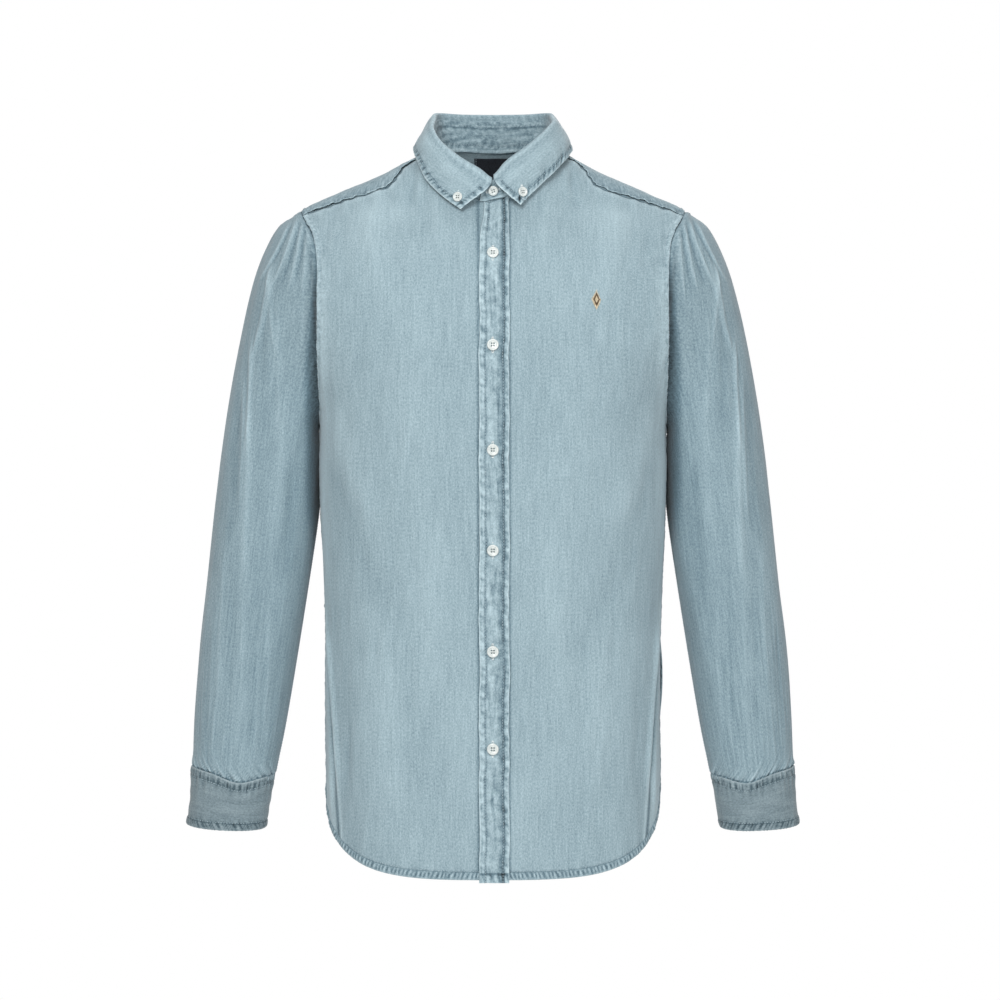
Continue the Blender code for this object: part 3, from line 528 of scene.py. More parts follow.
def roll_point(bearing):
    """The point of the leaf's crease, by the bearing from the back."""
    side, angle = round_neck_angle(bearing)
    height = roll_height(angle) + np.where(side > 0, roll_left_rise(angle), 0.0)
    return np.stack((side * roll_reach(angle), roll_depth(angle), height), axis=-1)


def roll_frame(bearing):
    """The crease point and the level direction away from the neck."""
    step = 0.01
    tangent = roll_point(bearing + step) - roll_point(bearing - step)
    level = np.stack((-tangent[..., 1], tangent[..., 0], 0 * tangent[..., 0]), axis=-1)
    outward = unit(level)
    return roll_point(bearing), outward


def neck_seam(bearing):
    """The point of the neck seam, by the bearing from the back."""
    side, angle = round_neck_angle(bearing)
    x, turn = neckline(np.radians(angle))
    return turned_point(side * x, turn)


def stand_form(bearing, up):
    """The collar stand, from the neck seam to the foot of the leaf."""
    _, angle = round_neck_angle(bearing)
    base = neck_seam(bearing)
    top = roll_point(bearing)
    top[..., 2] -= roll_leg(angle)
    rise = unit(top - base)
    base = base + rise * STAND_LIFT
    return base + (top - base - rise * STAND_TOP_GAP) * np.asarray(up)[..., None]


def leaf_form(bearing, down):
    """Middle of the leaf's cloth: up inside the neck, over the crease and down to the edge."""
    crease, outward = roll_frame(bearing)
    side, angle = round_neck_angle(bearing)
    up = np.array((0.0, 0.0, 1.0))
    leg = roll_leg(angle)
    leg_share = bounded(down / ROLL_START)
    inside_z = mix(-leg, -ROLL_RADIUS, leg_share)
    arc_share = bounded((down - ROLL_START) / (ROLL_END - ROLL_START))
    swing = mix(math.pi, ROLL_END_TILT, arc_share)
    arc_out = ROLL_RADIUS * (1 + np.cos(swing))
    arc_up = ROLL_RADIUS * (np.sin(swing) - 1)
    rising = down < ROLL_START
    out = np.where(rising, 0.0, arc_out)
    rise = np.where(rising, inside_z, arc_up)
    head = crease + outward * out[..., None] + up * rise[..., None]
    reach = np.where(side > 0, left_edge_reach(angle), edge_reach(angle))
    height = np.where(side > 0, left_edge_height(angle), edge_height(angle))
    edge = np.stack((side * reach, edge_depth(angle), height), axis=-1)
    sink = up * math.cos(ROLL_END_TILT) * LEAF_STEEPNESS
    away = unit(outward * math.sin(ROLL_END_TILT) - sink)
    fall = bounded((down - ROLL_END) / (1 - ROLL_END))[..., None]
    first = head + away * LEAF_FLARE
    last = edge + (head - edge) * LEAF_EDGE_PULL + outward * LEAF_EDGE_BULGE
    body = head * (1 - fall) ** 3 + first * 3 * fall * (1 - fall) ** 2
    body = body + last * 3 * fall ** 2 * (1 - fall) + edge * fall ** 3
    return body


# ---- the sleeves' form
def ring_column(rows, name):
    """One named column of a table of rings, read by the number of the ring."""
    return curve_through(range(len(rows)), [getattr(row, name) for row in rows])


def ring_form(rows, hand):
    """A tube through rings: an angle from the outer line towards the front, and a station."""
    read = {name: ring_column(rows, name) for name in Ring._fields}

    def form(angle, station):
        out = np.cos(angle)
        ahead = np.sin(angle)
        power = 2 / SLEEVE_SQUARENESS
        lean = np.sign(out) * np.abs(out) ** power
        flank = np.abs(ahead) ** power
        x = mix(read["in_x"](station), read["out_x"](station), (1 + lean) / 2)
        z = mix(read["in_z"](station), read["out_z"](station), (1 + lean) / 2)
        x = x - read["bow"](station) * flank
        reach = np.where(ahead > 0, -read["front"](station), read["back"](station))
        y = read["middle"](station) + reach * flank
        z = z - read["dip"](station) * ahead
        return np.stack(np.broadcast_arrays(hand * x, y, z), axis=-1)

    return form


def armhole_point(angle, hand):
    """The point of the armhole seam at an angle round the sleeve."""
    turn = np.arctan2(np.sin(angle), np.cos(angle))
    x, z = armhole(np.abs(turn))
    return torso_point(hand * x, z, np.where(turn > 0, -1.0, 1.0))


def sleeve_form(hand):
    """A sleeve's tube, whose head is drawn onto the armhole seam."""
    tube = ring_form(SLEEVE, hand)

    def form(angle, station):
        hold = bounded(1 - station / ARMHOLE_HOLD)[..., None] ** 2
        return tube(angle, station) + (armhole_point(angle, hand) - tube(angle, 0 * station)) * hold

    return form


# ---- sizes of the finish
SIDE_NAMES = ((-1.0, "right"), (1.0, "left"))
WALL = 0.0009
PLACKET_WALL = 0.0012
LEAF_WALL = 0.0016
STAND_WALL = 0.0018
CUFF_WALL = 0.0018
EDGE_ROUND = 0.0009
HEM_WIDTH = 0.0078
HEM_DEPTH = 0.0027
HEM_SIDES = 16

# Doubled cloth at a seam, cloth that runs on under a neighbour, and the rows of stitches.
SEW_WIDTH = 0.0062
UNDER = 0.0055
UNDER_DROP = 0.0012
EDGE_STITCH = 0.0014
STITCH_PAST = 0.0006
THREAD_PITCH = 0.003
THREAD_LENGTH = 0.0022
THREAD_WIDTH = 0.00055


# ---- uneven waves
def wander(at, wavelength, seed):
    """An uneven wave along one measure, between about -1 and 1."""
    first, second, third = np.random.default_rng(seed).uniform(0, 2 * math.pi, 3)
    sway = 1.7 * np.sin(at * (2 * math.pi / (4.3 * wavelength)) + first)
    wave = np.sin(at * (2 * math.pi / wavelength) + sway + second)
    return 0.72 * wave + 0.28 * np.sin(at * (2 * math.pi / (1.7 * wavelength)) + third)


def swell(x, y, wavelength, seed, count=9):
    """A soft uneven field over two measures, between about -1 and 1."""
    draw = np.random.default_rng(seed)
    total = 0.0 * (x + y)
    for _ in range(count):
        heading, shift = draw.uniform(0, 2 * math.pi, 2)
        turn = 2 * math.pi / (wavelength * draw.uniform(0.7, 1.5))
        total = total + np.cos((x * math.cos(heading) + y * math.sin(heading)) * turn + shift)
    return total * 1.6 / count


# A crease from one place of the front view to another.
Crease = namedtuple("Crease", "x0 z0 x1 z1 bow width height")


def crease_heights(x, z, rows):
    """Ridges (above 0) and troughs (below 0) along bowed lines that fade at both ends."""
    total = 0.0 * (x + z)
    for row in rows:
        run, fall = row.x1 - row.x0, row.z1 - row.z0
        length = math.hypot(run, fall)
        share = ((x - row.x0) * run + (z - row.z0) * fall) / length ** 2
        bowed = row.bow * 4 * share * (1 - share)
        off = ((x - row.x0) * fall - (z - row.z0) * run) / length - bowed
        fade = ease(share / 0.25) * ease((1 - share) / 0.25)
        total = total + row.height * fade * stripe(off, 0.0, row.width)
    return total


# ---- a piece of cloth
def lengths_along(points, axis):
    """Running length along one axis of a grid of points."""
    steps = np.linalg.norm(np.diff(points, axis=axis), axis=-1)
    start = np.zeros_like(np.take(steps, [0], axis=axis))
    return np.cumsum(np.concatenate((start, steps), axis=axis), axis=axis)


def paced(line, start, end, middle, close, reach=0.018):
    """Stations along a line, close together near its ends and wider apart between."""
    at = np.linspace(start, end, 900)
    run = lengths_along(line(at)[None], 1)[0]
    near = np.minimum(run, run[-1] - run)
    density = mix(1 / close, 1 / middle, ease(near / reach - 0.3))
    steps = (density[1:] + density[:-1]) / 2 * np.diff(run)
    total = np.concatenate(([0.0], np.cumsum(steps)))
    even = np.linspace(0, total[-1], int(math.ceil(total[-1])) + 1)
    stations = np.interp(even, total, at)
    rim = EDGE_ROUND * np.array((0.12, 0.45, 1.0))
    ends = np.interp(np.concatenate((rim, run[-1] - rim)), run, at)
    kept = stations[(stations > ends[2] + 1e-9) & (stations < ends[3] - 1e-9)]
    return np.concatenate(([start], ends[:3], kept, ends[3:][::-1], [end]))


def paced_across(form, at, ends, middle, close, reach=0.018):
    """Stations across a form, paced on its row at one place."""
    return paced(lambda u: form(u, 0 * u + at), ends[0], ends[1], middle, close, reach)


def paced_along(form, at, ends, middle, close, reach=0.018):
    """Stations along a form, paced on its column at one place."""
    return paced(lambda v: form(0 * v + at, v), ends[0], ends[1], middle, close, reach)


def facing(grid, edge):
    """A grid turned so that one of its edges comes first along its second axis."""
    turned = grid.swapaxes(0, 1) if edge.endswith("u") else grid
    return turned[:, ::-1] if edge.startswith("last") else turned


def facing_back(grid, edge):
    """A turned grid as it was."""
    turned = grid[:, ::-1] if edge.startswith("last") else grid
    return turned.swapaxes(0, 1) if edge.endswith("u") else turned


def grid_directions(points, closed):
    """Directions square to a grid, which may close round its first axis."""
    if closed:
        across = np.roll(points, -1, 0) - np.roll(points, 1, 0)
    else:
        across = np.gradient(points, axis=0)
    return unit(np.cross(across, np.gradient(points, axis=1)))


def from_axis(points):
    """Away from the upright line through the neck."""
    return points * np.array((1.0, 1.0, 0.0))


def from_ring(points):
    """Away from the middle of each ring of a tube."""
    return points - points.mean(axis=0, keepdims=True)


# A fold this high is paler by 1 and a trough this deep darker by 1: partly the fading of worn denim, partly
# painted light and shade.
FULL_FADE_AND_LIGHT_HEIGHT = 0.0015


class Cloth:
    """A fine grid on a form. s and t are the places on the flat cloth, in metres.

    lift moves the cloth off its form, seam blotches it, and the wear value fades it and also carries
    painted shade and painted highlights.
    """

    def __init__(self, form, us, vs, outward, closed=False, smooth=False):
        u, v = np.meshgrid(us, vs, indexing="ij")
        self.base = form(u, v)
        self.outward, self.closed, self.smooth = outward, closed, smooth
        self.settle()

    def settle(self):
        """Measure the grid, and start with no lift, wear or seam."""
        own = grid_directions(self.base, self.closed)
        away = self.outward(self.base)
        self.sense = 1.0 if np.sum(own * away) > 0 else -1.0
        self.normals = away if self.smooth else own * self.sense
        self.s = lengths_along(self.base, 0)
        self.t = lengths_along(self.base, 1)
        self.across, self.along = self.s, self.t
        shape = self.base.shape[:2]
        self.lift, self.wear, self.seam = np.zeros(shape), np.zeros(shape), np.zeros(shape)

    def carry_on(self, edge, depth=UNDER, rows=4, normals=None):
        """Carry the cloth on past an edge, to lie under the piece it is sewn to."""
        grid = facing(self.base, edge)
        line, inner = grid[:, 0], grid[:, 1]
        directions = facing(self.normals, edge)[:, 0] if normals is None else normals(line)
        ends = np.roll(line, -1, 0) - np.roll(line, 1, 0) if self.closed else np.gradient(line, axis=0)
        side = unit(np.cross(directions, ends))
        if np.sum(side * (line - inner)) < 0:
            side = -side
        folded = np.sum(side * unit(inner - line), axis=-1)
        kept = ease((0.35 - folded) / 0.5)
        if self.closed:
            kept = sum(np.roll(kept, shift) for shift in range(-3, 4)) / 7
        steps = np.linspace(depth, 0, rows + 1)[:-1]
        steps = steps[None, :] * (0.06 + 0.94 * kept[:, None])
        added = line[:, None] + side[:, None] * steps[..., None]
        self.base = facing_back(np.concatenate((added, grid), axis=1), edge)
        self.settle()

    def from_edge(self, edge):
        """Distance over the cloth from one edge, and the place along it."""
        if edge.endswith("u"):
            return (self.s if edge.startswith("first") else self.s[-1:] - self.s), self.t
        return (self.t if edge.startswith("first") else self.t[:, -1:] - self.t), self.s

    def tuck(self, edge, under=UNDER, drop=UNDER_DROP, rise=0.005, weight=1.0):
        """Lower the cloth that runs on under its neighbour."""
        distance, _ = self.from_edge(edge)
        self.lift -= drop * weight * (1 - ease((distance - under) / rise))

    def sew(self, edge, width=SEW_WIDTH, rise=0.0005, pucker=0.0004, wave=0.008, seed=1, shade=1.0,
            under=0.0, reach=0.01, beyond=0.6, slant=0.35, weight=1.0, piping=0.8, dark=0.0, stitch=1.0,
            mark=0.8, dashes=0.0):
        """Double the cloth from an edge to its stitching, with the puckers the thread draws in.

        piping whitens the edge, and dark paints the shadow on the cloth where it runs under its neighbour.
        mark whitens the puckers, and stitch and dashes darken the row of stitches and the hollows beside
        it.
        """
        distance, along = self.from_edge(edge)
        distance = distance - under
        inside = (1 - ease((distance - width) / 0.0022 + 0.5)) * ease(distance / 0.001 + 1)
        quick = wander(along + distance * slant, wave, seed)
        slow = wander(along + distance * 0.1, wave * 1.9, seed + 1)
        hump = inside * (0.35 + 0.65 * np.sin(bounded(distance / width) * math.pi))
        past = np.clip(distance - width, 0, None)
        drawn = np.exp(-past / reach) * (1 - inside) * (distance > 0)
        groove = stripe(distance, width, 0.001)
        self.lift += weight * (rise * inside + pucker * (quick * hump + beyond * slow * drawn))
        self.lift -= weight * 0.0003 * groove
        self.wear += weight * (mark * quick * hump + 0.7 * beyond * slow * drawn - stitch * groove)
        self.wear += weight * piping * stripe(distance, 0.0, 0.0013)
        # dark: a painted shadow along the line where the cloth comes out from under its neighbour.
        self.wear -= weight * dark * stripe(distance, -0.0004, 0.0011)
        drawn_in = np.clip(-quick - 0.1, 0, None) * stripe(distance / width, 0.85, 0.42)
        self.wear -= weight * dashes * drawn_in
        near = shade * np.exp(-past / 0.004) * (distance > -0.001)
        self.seam = np.maximum(self.seam, weight * near)

    def fold(self, heights, wear=1.0):
        """Raise the cloth by some heights, paler where it is raised and darker where it sinks, partly as
        worn denim fades and partly as painted light and shade.
        """
        self.lift += heights
        self.wear += wear * heights / FULL_FADE_AND_LIGHT_HEIGHT

    def shape(self):
        """Work out the skin of the cloth."""
        self.skin = self.base + self.normals * self.lift[..., None]
        self.facings = grid_directions(self.skin, self.closed) * self.sense

    def line(self, edge, distance, first=0.0, last=0.0):
        """The line of skin points at a distance from an edge, with the directions across it."""
        off = facing(self.from_edge(edge)[0], edge)
        skin, facings = facing(self.skin, edge), facing(self.facings, edge)
        lane = np.arange(len(off))
        after = np.clip((off < distance).sum(axis=1), 1, off.shape[1] - 1)
        low, high = off[lane, after - 1], off[lane, after]
        share = bounded((distance - low) / np.maximum(high - low, 1e-9))[:, None]
        points = mix(skin[lane, after - 1], skin[lane, after], share)
        directions = unit(mix(facings[lane, after - 1], facings[lane, after], share))
        if self.closed and edge.endswith("v"):
            points = np.concatenate((points, points[:1]))
            directions = np.concatenate((directions, directions[:1]))
        run = lengths_along(points[None], 1)[0]
        kept = (run >= first) & (run <= run[-1] - last)
        return points[kept], directions[kept]

    def seat(self, point, normal):
        """The place on the skin under a point, along a direction."""
        near = np.argmin(np.linalg.norm(self.skin - point - normal * 0.003, axis=-1))
        found = self.skin.reshape(-1, 3)[near]
        return point + normal * float(np.dot(found - point, normal))


# ---- meshes
def put_in_scene(item):
    """Show an object."""
    bpy.context.scene.collection.objects.link(item)


def put_attribute(mesh, name, kind, values):
    """Store values for a material to read."""
    layer = mesh.attributes.new(name, kind, "POINT")
    key = "vector" if kind == "FLOAT_VECTOR" else "value"
    layer.data.foreach_set(key, np.asarray(values, np.float32).ravel())


def add_piece(name, mesh, material, sharp=60):
    """A piece of the shirt from its mesh, shaded smooth but for sharp edges."""
    mesh.materials.append(material)
    mesh.shade_smooth()
    mesh.set_sharp_from_angle(angle=math.radians(sharp))
    piece = bpy.data.objects.new(name, mesh)
    put_in_scene(piece)
    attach(piece, "root")
    return piece


def add_mesh(name, points, faces, place, wear, seam, material):
    """A piece of cloth, with the values that its material reads."""
    mesh = bpy.data.meshes.new(name)
    mesh.from_pydata(points.tolist(), [], faces.tolist())
    put_attribute(mesh, "cloth_place", "FLOAT_VECTOR", place)
    put_attribute(mesh, "wear", "FLOAT", wear)
    put_attribute(mesh, "seam", "FLOAT", seam)
    return add_piece(name, mesh, material)


def quads(places):
    """The four-sided faces of a grid of point numbers."""
    corners = (places[:-1, :-1], places[1:, :-1], places[1:, 1:], places[:-1, 1:])
    return np.stack(corners, -1).reshape(-1, 4)


def strip(first, second):
    """The four-sided faces between two lines of point numbers."""
    return np.stack((first[:-1], second[:-1], second[1:], first[1:]), -1)


def make_shell(name, cloth, wall, material, round_edges=("first_u", "last_u", "first_v", "last_v"),
               inside=-0.3):
    """A closed thin shell of cloth: two skins of the grid, joined by a rim."""
    cloth.shape()
    shape = cloth.s.shape
    drop = np.zeros(shape)
    for edge in round_edges:
        distance, _ = cloth.from_edge(edge)
        share = bounded(1 - distance / EDGE_ROUND)
        drop = np.maximum(drop, wall * 0.44 * (1 - np.sqrt(1 - share ** 2)))
    outer = cloth.skin - cloth.facings * drop[..., None]
    inner = cloth.skin - cloth.facings * (wall - drop)[..., None]
    index = np.arange(cloth.s.size).reshape(shape)
    around = np.vstack((index, index[:1])) if cloth.closed else index
    under = around + cloth.s.size
    faces = [quads(around), quads(under)[:, ::-1]]
    faces.append(strip(around[:, 0], under[:, 0]))
    faces.append(strip(around[:, -1], under[:, -1])[:, ::-1])
    if not cloth.closed:
        faces.append(strip(around[0], under[0])[:, ::-1])
        faces.append(strip(around[-1], under[-1]))
    faces = np.concatenate(faces)
    if cloth.sense < 0:
        faces = faces[:, ::-1]
    place = np.stack(np.broadcast_arrays(cloth.across, cloth.along, 0.0), -1).reshape(-1, 3)
    points = np.concatenate((outer.reshape(-1, 3), inner.reshape(-1, 3)))
    places = np.concatenate((place, place + np.array((0.31, 0.17, 0.01))))
    wear, seam = cloth.wear.ravel(), cloth.seam.ravel()
    # The inner skin takes the outer's values times inside, darkened by 0.25 as painted shade inside the
    # shirt.
    inner_skin_tone = inside * wear - 0.25
    return add_mesh(name, points, faces, places, np.concatenate((wear, inner_skin_tone)),
                    np.concatenate((seam, seam)), material)


ROPE_PITCH = 0.0045


def make_hem(name, cloth, material, seed):
    """A narrow hem rolled over the lower edge of a piece, roped by its own stitching."""
    low, facings = cloth.line("first_v", 0.0)
    high, _ = cloth.line("first_v", HEM_WIDTH)
    rise = unit(high - low)
    length = lengths_along(low[None], 1)[0]
    at = np.linspace(0, length[-1], int(length[-1] / 0.001))

    def read(values):
        return np.stack([np.interp(at, length, values[:, k]) for k in range(3)], -1)

    spine, upward, outward = read(low), unit(read(rise)), unit(read(facings))
    turn = np.linspace(0, 2 * math.pi, HEM_SIDES, endpoint=False)
    height = HEM_WIDTH * (0.5 - 0.53 * np.cos(turn))
    depth = HEM_DEPTH / 2 * np.sign(np.sin(turn)) * np.abs(np.sin(turn)) ** 0.6
    turns = (at[:, None] + height[None] * 0.4) / ROPE_PITCH + 0.22 * wander(at, 0.021, seed)[:, None]
    rope = np.sin(2 * math.pi * turns)
    swing = wander(at[:, None] + height[None] * 0.3, 0.015, seed + 1)
    thick = 1 + 0.26 * rope + 0.12 * swing
    taper = ease(np.minimum(at, length[-1] - at) / 0.002 + 0.45)[:, None]
    out = depth[None] * thick * taper - WALL / 2
    points = spine[:, None] + upward[:, None] * height[None, :, None] + outward[:, None] * out[..., None]
    rows = len(at)
    index = np.arange(rows * HEM_SIDES).reshape(rows, HEM_SIDES)
    around = np.hstack((index, index[:, :1]))
    faces = [tuple(face) for face in quads(around)]
    faces.append(tuple(index[0]))
    faces.append(tuple(index[-1][::-1]))
    mesh = bpy.data.meshes.new(name)
    mesh.from_pydata(points.reshape(-1, 3).tolist(), [], faces)
    place = np.stack(np.broadcast_arrays(at[:, None], height[None], 0.05), -1)
    put_attribute(mesh, "cloth_place", "FLOAT_VECTOR", place)
    band = stripe(height, HEM_WIDTH * 0.55, HEM_WIDTH * 0.34)
    low_edge = stripe(height, 0.0, 0.0012)
    wear = rope * band[None] * (2.4 + 0.8 * swing) - 0.7 + 1.8 * low_edge[None]
    put_attribute(mesh, "wear", "FLOAT", wear)
    put_attribute(mesh, "seam", "FLOAT", np.full(rope.shape, 0.8))
    solid = bmesh.new()
    solid.from_mesh(mesh)
    bmesh.ops.recalc_face_normals(solid, faces=solid.faces[:])
    solid.to_mesh(mesh)
    solid.free()
    return add_piece(name, mesh, material)


# ---- threads
def bead_shape():
    """One stitch: a short low bar with a point at each end."""
    points = [(-0.5, 0.0, -0.2)]
    for place in (-0.3, 0.3):
        for side in range(4):
            turn = math.pi / 2 * side
            points.append((place, 0.5 * math.cos(turn), 0.5 * math.sin(turn)))
    points.append((0.5, 0.0, -0.2))
    faces = []
    for side in range(4):
        after = (side + 1) % 4
        faces.append((0, 1 + after, 1 + side))
        faces.append((1 + side, 1 + after, 5 + after))
        faces.append((1 + side, 5 + after, 5 + side))
        faces.append((9, 5 + side, 5 + after))
    return np.array(points), np.array(faces)


class Threads:
    """Stitches gathered into one piece."""

    def __init__(self, name):
        self.name, self.points, self.faces, self.count = name, [], [], 0

    def beads(self, places, facings, ahead, length, width=THREAD_WIDTH, height=None):
        """Lay one stitch at each place, pointing ahead."""
        shape, faces = bead_shape()
        side = unit(np.cross(facings, ahead))
        ahead = unit(np.cross(side, facings))
        long = np.broadcast_to(length, len(places))[:, None, None]
        tall = width * 0.75 if height is None else height
        grown = places[:, None] + ahead[:, None] * shape[None, :, :1] * long
        grown = grown + side[:, None] * shape[None, :, 1:2] * width
        grown = grown + facings[:, None] * shape[None, :, 2:] * tall
        starts = np.arange(len(places))[:, None, None] * len(shape) + self.count
        self.points.append(grown.reshape(-1, 3))
        self.faces.append((faces[None] + starts).reshape(-1, 3))
        self.count += len(places) * len(shape)

    def row(self, line, pitch=THREAD_PITCH, length=THREAD_LENGTH):
        """Lay a row of stitches along a line."""
        points, directions = line
        if len(points) < 3:
            return
        run = lengths_along(points[None], 1)[0]
        count = max(2, int(run[-1] / pitch))
        at = (np.arange(count) + 0.5) * run[-1] / count

        def read(values, shift=0.0):
            return np.stack([np.interp(at + shift, run, values[:, k]) for k in range(3)], -1)

        ahead = unit(read(points, 0.0006) - read(points, -0.0006))
        facings = unit(read(directions))
        self.beads(read(points) + facings * 0.0001, facings, ahead, length)

    def add(self, material):
        """Make the piece of all the stitches laid so far."""
        mesh = bpy.data.meshes.new(self.name)
        points, faces = np.concatenate(self.points), np.concatenate(self.faces)
        mesh.from_pydata(points.tolist(), [], faces.tolist())
        return add_piece(self.name, mesh, material, 30)


# ---- materials
def add_node(tree, kind, settings=None, **inputs):
    """A shader node with its settings and with its inputs set or linked by name."""
    made = tree.nodes.new(kind)
    for name, value in (settings or {}).items():
        setattr(made, name, value)
    for name, value in inputs.items():
        socket = made.inputs[int(name[1:])] if name[1:].isdigit() else made.inputs[name.replace("_", " ")]
        if isinstance(value, bpy.types.NodeSocket):
            tree.links.new(value, socket)
        else:
            socket.default_value = value
    return made


def scaled_noise(tree, place, across, along, depth, detail=2.0, rough=0.55):
    """Noise stretched over the cloth, in cycles for each metre."""
    moved = add_node(tree, "ShaderNodeMapping", Vector=place, Scale=(across, along, depth))
    noise = add_node(tree, "ShaderNodeTexNoise", Vector=moved.outputs[0], Scale=1.0, Detail=detail,
                     Roughness=rough)
    return noise.outputs[0]


def sum_of(tree, start, *terms):
    """A start value with scaled values added to it."""
    total = start
    for value, scale in terms:
        step = add_node(tree, "ShaderNodeMath", {"operation": "MULTIPLY_ADD"}, _0=value, _1=scale, _2=total)
        total = step.outputs[0]
    return total


def centred(tree, value, scale=1.0):
    """Noise about 0, times a scale."""
    moved = add_node(tree, "ShaderNodeMath", {"operation": "SUBTRACT"}, _0=value, _1=0.5)
    return add_node(tree, "ShaderNodeMath", {"operation": "MULTIPLY"}, _0=moved.outputs[0],
                    _1=scale).outputs[0]


# Noises of washed denim: cycles for each metre, roughness, and share in the tone.
Yarn = namedtuple("Yarn", "across along through rough tone")
YARNS = {
    "slub": Yarn(420, 34, 40, 0.6, 0.55),
    "streak": Yarn(300, 9, 20, 0.7, 0.24),
    "heather": Yarn(640, 400, 50, 0.8, 1.6),
    "cloud": Yarn(16, 10, 10, 0.55, 0.22),
    "blotch": Yarn(190, 150, 60, 0.65, 0.75),
}
WEAVE_SCALE = 400.0
# The palest tones are whitened towards this, for faded seams and for painted highlights.
BLEACH_AND_HIGHLIGHT = (1.6, 1.47, 1.4, 1.0)
PLAIN_WHITE = (1.0, 1.0, 1.0, 1.0)


def multiplied(tree, first, second):
    """Two colours multiplied."""
    return add_node(tree, "ShaderNodeMix", {"data_type": "RGBA", "blend_type": "MULTIPLY"}, _0=1.0,
                    _6=first, _7=second).outputs[2]


def woven_group():
    """Washed denim: streaks of slub yarn, heather, the fading and the painted light and shade it is given,
    and the weave.
    """
    tree = bpy.data.node_groups.new("washed_denim", "ShaderNodeTree")
    for name, kind in (("Place", "Vector"), ("Wear", "Float"), ("Seam", "Float"), ("Deep", "Color"),
                       ("Pale", "Color")):
        tree.interface.new_socket(name=name, in_out="INPUT", socket_type=f"NodeSocket{kind}")
    for name, kind in (("Color", "Color"), ("Roughness", "Float"), ("Height", "Float")):
        tree.interface.new_socket(name=name, in_out="OUTPUT", socket_type=f"NodeSocket{kind}")
    given = tree.nodes.new("NodeGroupInput").outputs
    made = tree.nodes.new("NodeGroupOutput").inputs
    noise = {name: scaled_noise(tree, given["Place"], row.across, row.along, row.through, 3.0, row.rough)
             for name, row in YARNS.items()}
    warp, weft = [add_node(tree, "ShaderNodeTexWave", {"bands_direction": axis}, Vector=given["Place"],
                           Scale=WEAVE_SCALE, Distortion=1.0, Detail_Scale=1.0).outputs[1]
                  for axis in ("X", "Y")]
    marks = add_node(tree, "ShaderNodeMath", {"operation": "MULTIPLY"}, _0=given["Seam"],
                     _1=centred(tree, noise["blotch"], 2.0)).outputs[0]
    yarns = [(centred(tree, noise[name]), YARNS[name].tone) for name in YARNS if name != "blotch"]
    tone = sum_of(tree, 0.5, *yarns, (given["Wear"], 0.24), (marks, YARNS["blotch"].tone),
                  (given["Seam"], -0.12), (warp, 0.05), (weft, 0.03))
    held = add_node(tree, "ShaderNodeClamp", Value=tone).outputs[0]
    colour = add_node(tree, "ShaderNodeMix", {"data_type": "RGBA"}, _0=held, _6=given["Deep"],
                      _7=given["Pale"]).outputs[2]
    # Tones below 0 darken the colour further, which carries the painted shade of seams, grooves and the
    # sleeves beside the body; tones above 1 whiten it, for faded seams and painted highlights.
    hollow = add_node(tree, "ShaderNodeMapRange", Value=tone, From_Min=-1.0, From_Max=0.0, To_Min=0.12,
                      To_Max=1.0).outputs[0]
    crest = add_node(tree, "ShaderNodeMapRange", Value=tone, From_Min=1.0, From_Max=2.0).outputs[0]
    bleach_and_highlight = add_node(tree, "ShaderNodeMix", {"data_type": "RGBA"}, _0=crest, _6=PLAIN_WHITE,
                        _7=BLEACH_AND_HIGHLIGHT).outputs[2]
    shaded = multiplied(tree, multiplied(tree, colour, bleach_and_highlight), hollow)
    tree.links.new(shaded, made["Color"])
    rough = sum_of(tree, 0.86, (held, -0.06), (centred(tree, noise["heather"]), 0.1))
    tree.links.new(rough, made["Roughness"])
    height = sum_of(tree, 0.0, (noise["slub"], 0.9), (noise["heather"], 0.55), (warp, 0.35), (weft, 0.3),
                    (marks, 0.6))
    tree.links.new(height, made["Height"])
    return tree


def finish_material(name, roughness=0.6, **inputs):
    """A material with the fixed values of its Principled shader."""
    material = bpy.data.materials.new(name)
    material.use_nodes = True
    tree = material.node_tree
    shader = tree.nodes["Principled BSDF"]
    shader.inputs["Roughness"].default_value = roughness
    for key, value in inputs.items():
        shader.inputs[key.replace("_", " ")].default_value = value
    return material, tree, shader


def cloth_material(name, group, deep, pale, relief=0.00022):
    """Washed denim between a deep and a pale blue."""
    material, tree, shader = finish_material(name, Sheen_Weight=0.22, Sheen_Roughness=0.5,
                                             Specular_IOR_Level=0.25)
    place, wear, seam = [add_node(tree, "ShaderNodeAttribute", {"attribute_name": key}).outputs
                         for key in ("cloth_place", "wear", "seam")]
    woven = add_node(tree, "ShaderNodeGroup", {"node_tree": group}, Place=place["Vector"],
                     Wear=wear["Fac"], Seam=seam["Fac"], Deep=deep + (1.0,), Pale=pale + (1.0,))
    bump = add_node(tree, "ShaderNodeBump", Strength=0.75, Distance=relief, Height=woven.outputs["Height"])
    tree.links.new(woven.outputs["Color"], shader.inputs["Base Color"])
    tree.links.new(woven.outputs["Roughness"], shader.inputs["Roughness"])
    tree.links.new(bump.outputs[0], shader.inputs["Normal"])
    return material


def mottled_material(name, dark, light, scale, stretch=1.0, relief=0.00005, **inputs):
    """A finish that varies softly between two colours, with a faint relief."""
    material, tree, shader = finish_material(name, **inputs)
    place = add_node(tree, "ShaderNodeTexCoord").outputs["Object"]
    noise = scaled_noise(tree, place, scale, scale * stretch, scale, 3.0)
    edges = {"Value": noise, "From_Min": 0.36, "From_Max": 0.64}
    share = add_node(tree, "ShaderNodeMapRange", None, **edges).outputs[0]
    colour = add_node(tree, "ShaderNodeMix", {"data_type": "RGBA"}, _0=share, _6=dark + (1.0,),
                      _7=light + (1.0,)).outputs[2]
    tree.links.new(colour, shader.inputs["Base Color"])
    fine = scaled_noise(tree, place, scale * 5, scale * 5, scale * 5, 2.0)
    bump = add_node(tree, "ShaderNodeBump", Strength=0.5, Distance=relief, Height=fine)
    tree.links.new(bump.outputs[0], shader.inputs["Normal"])
    return material


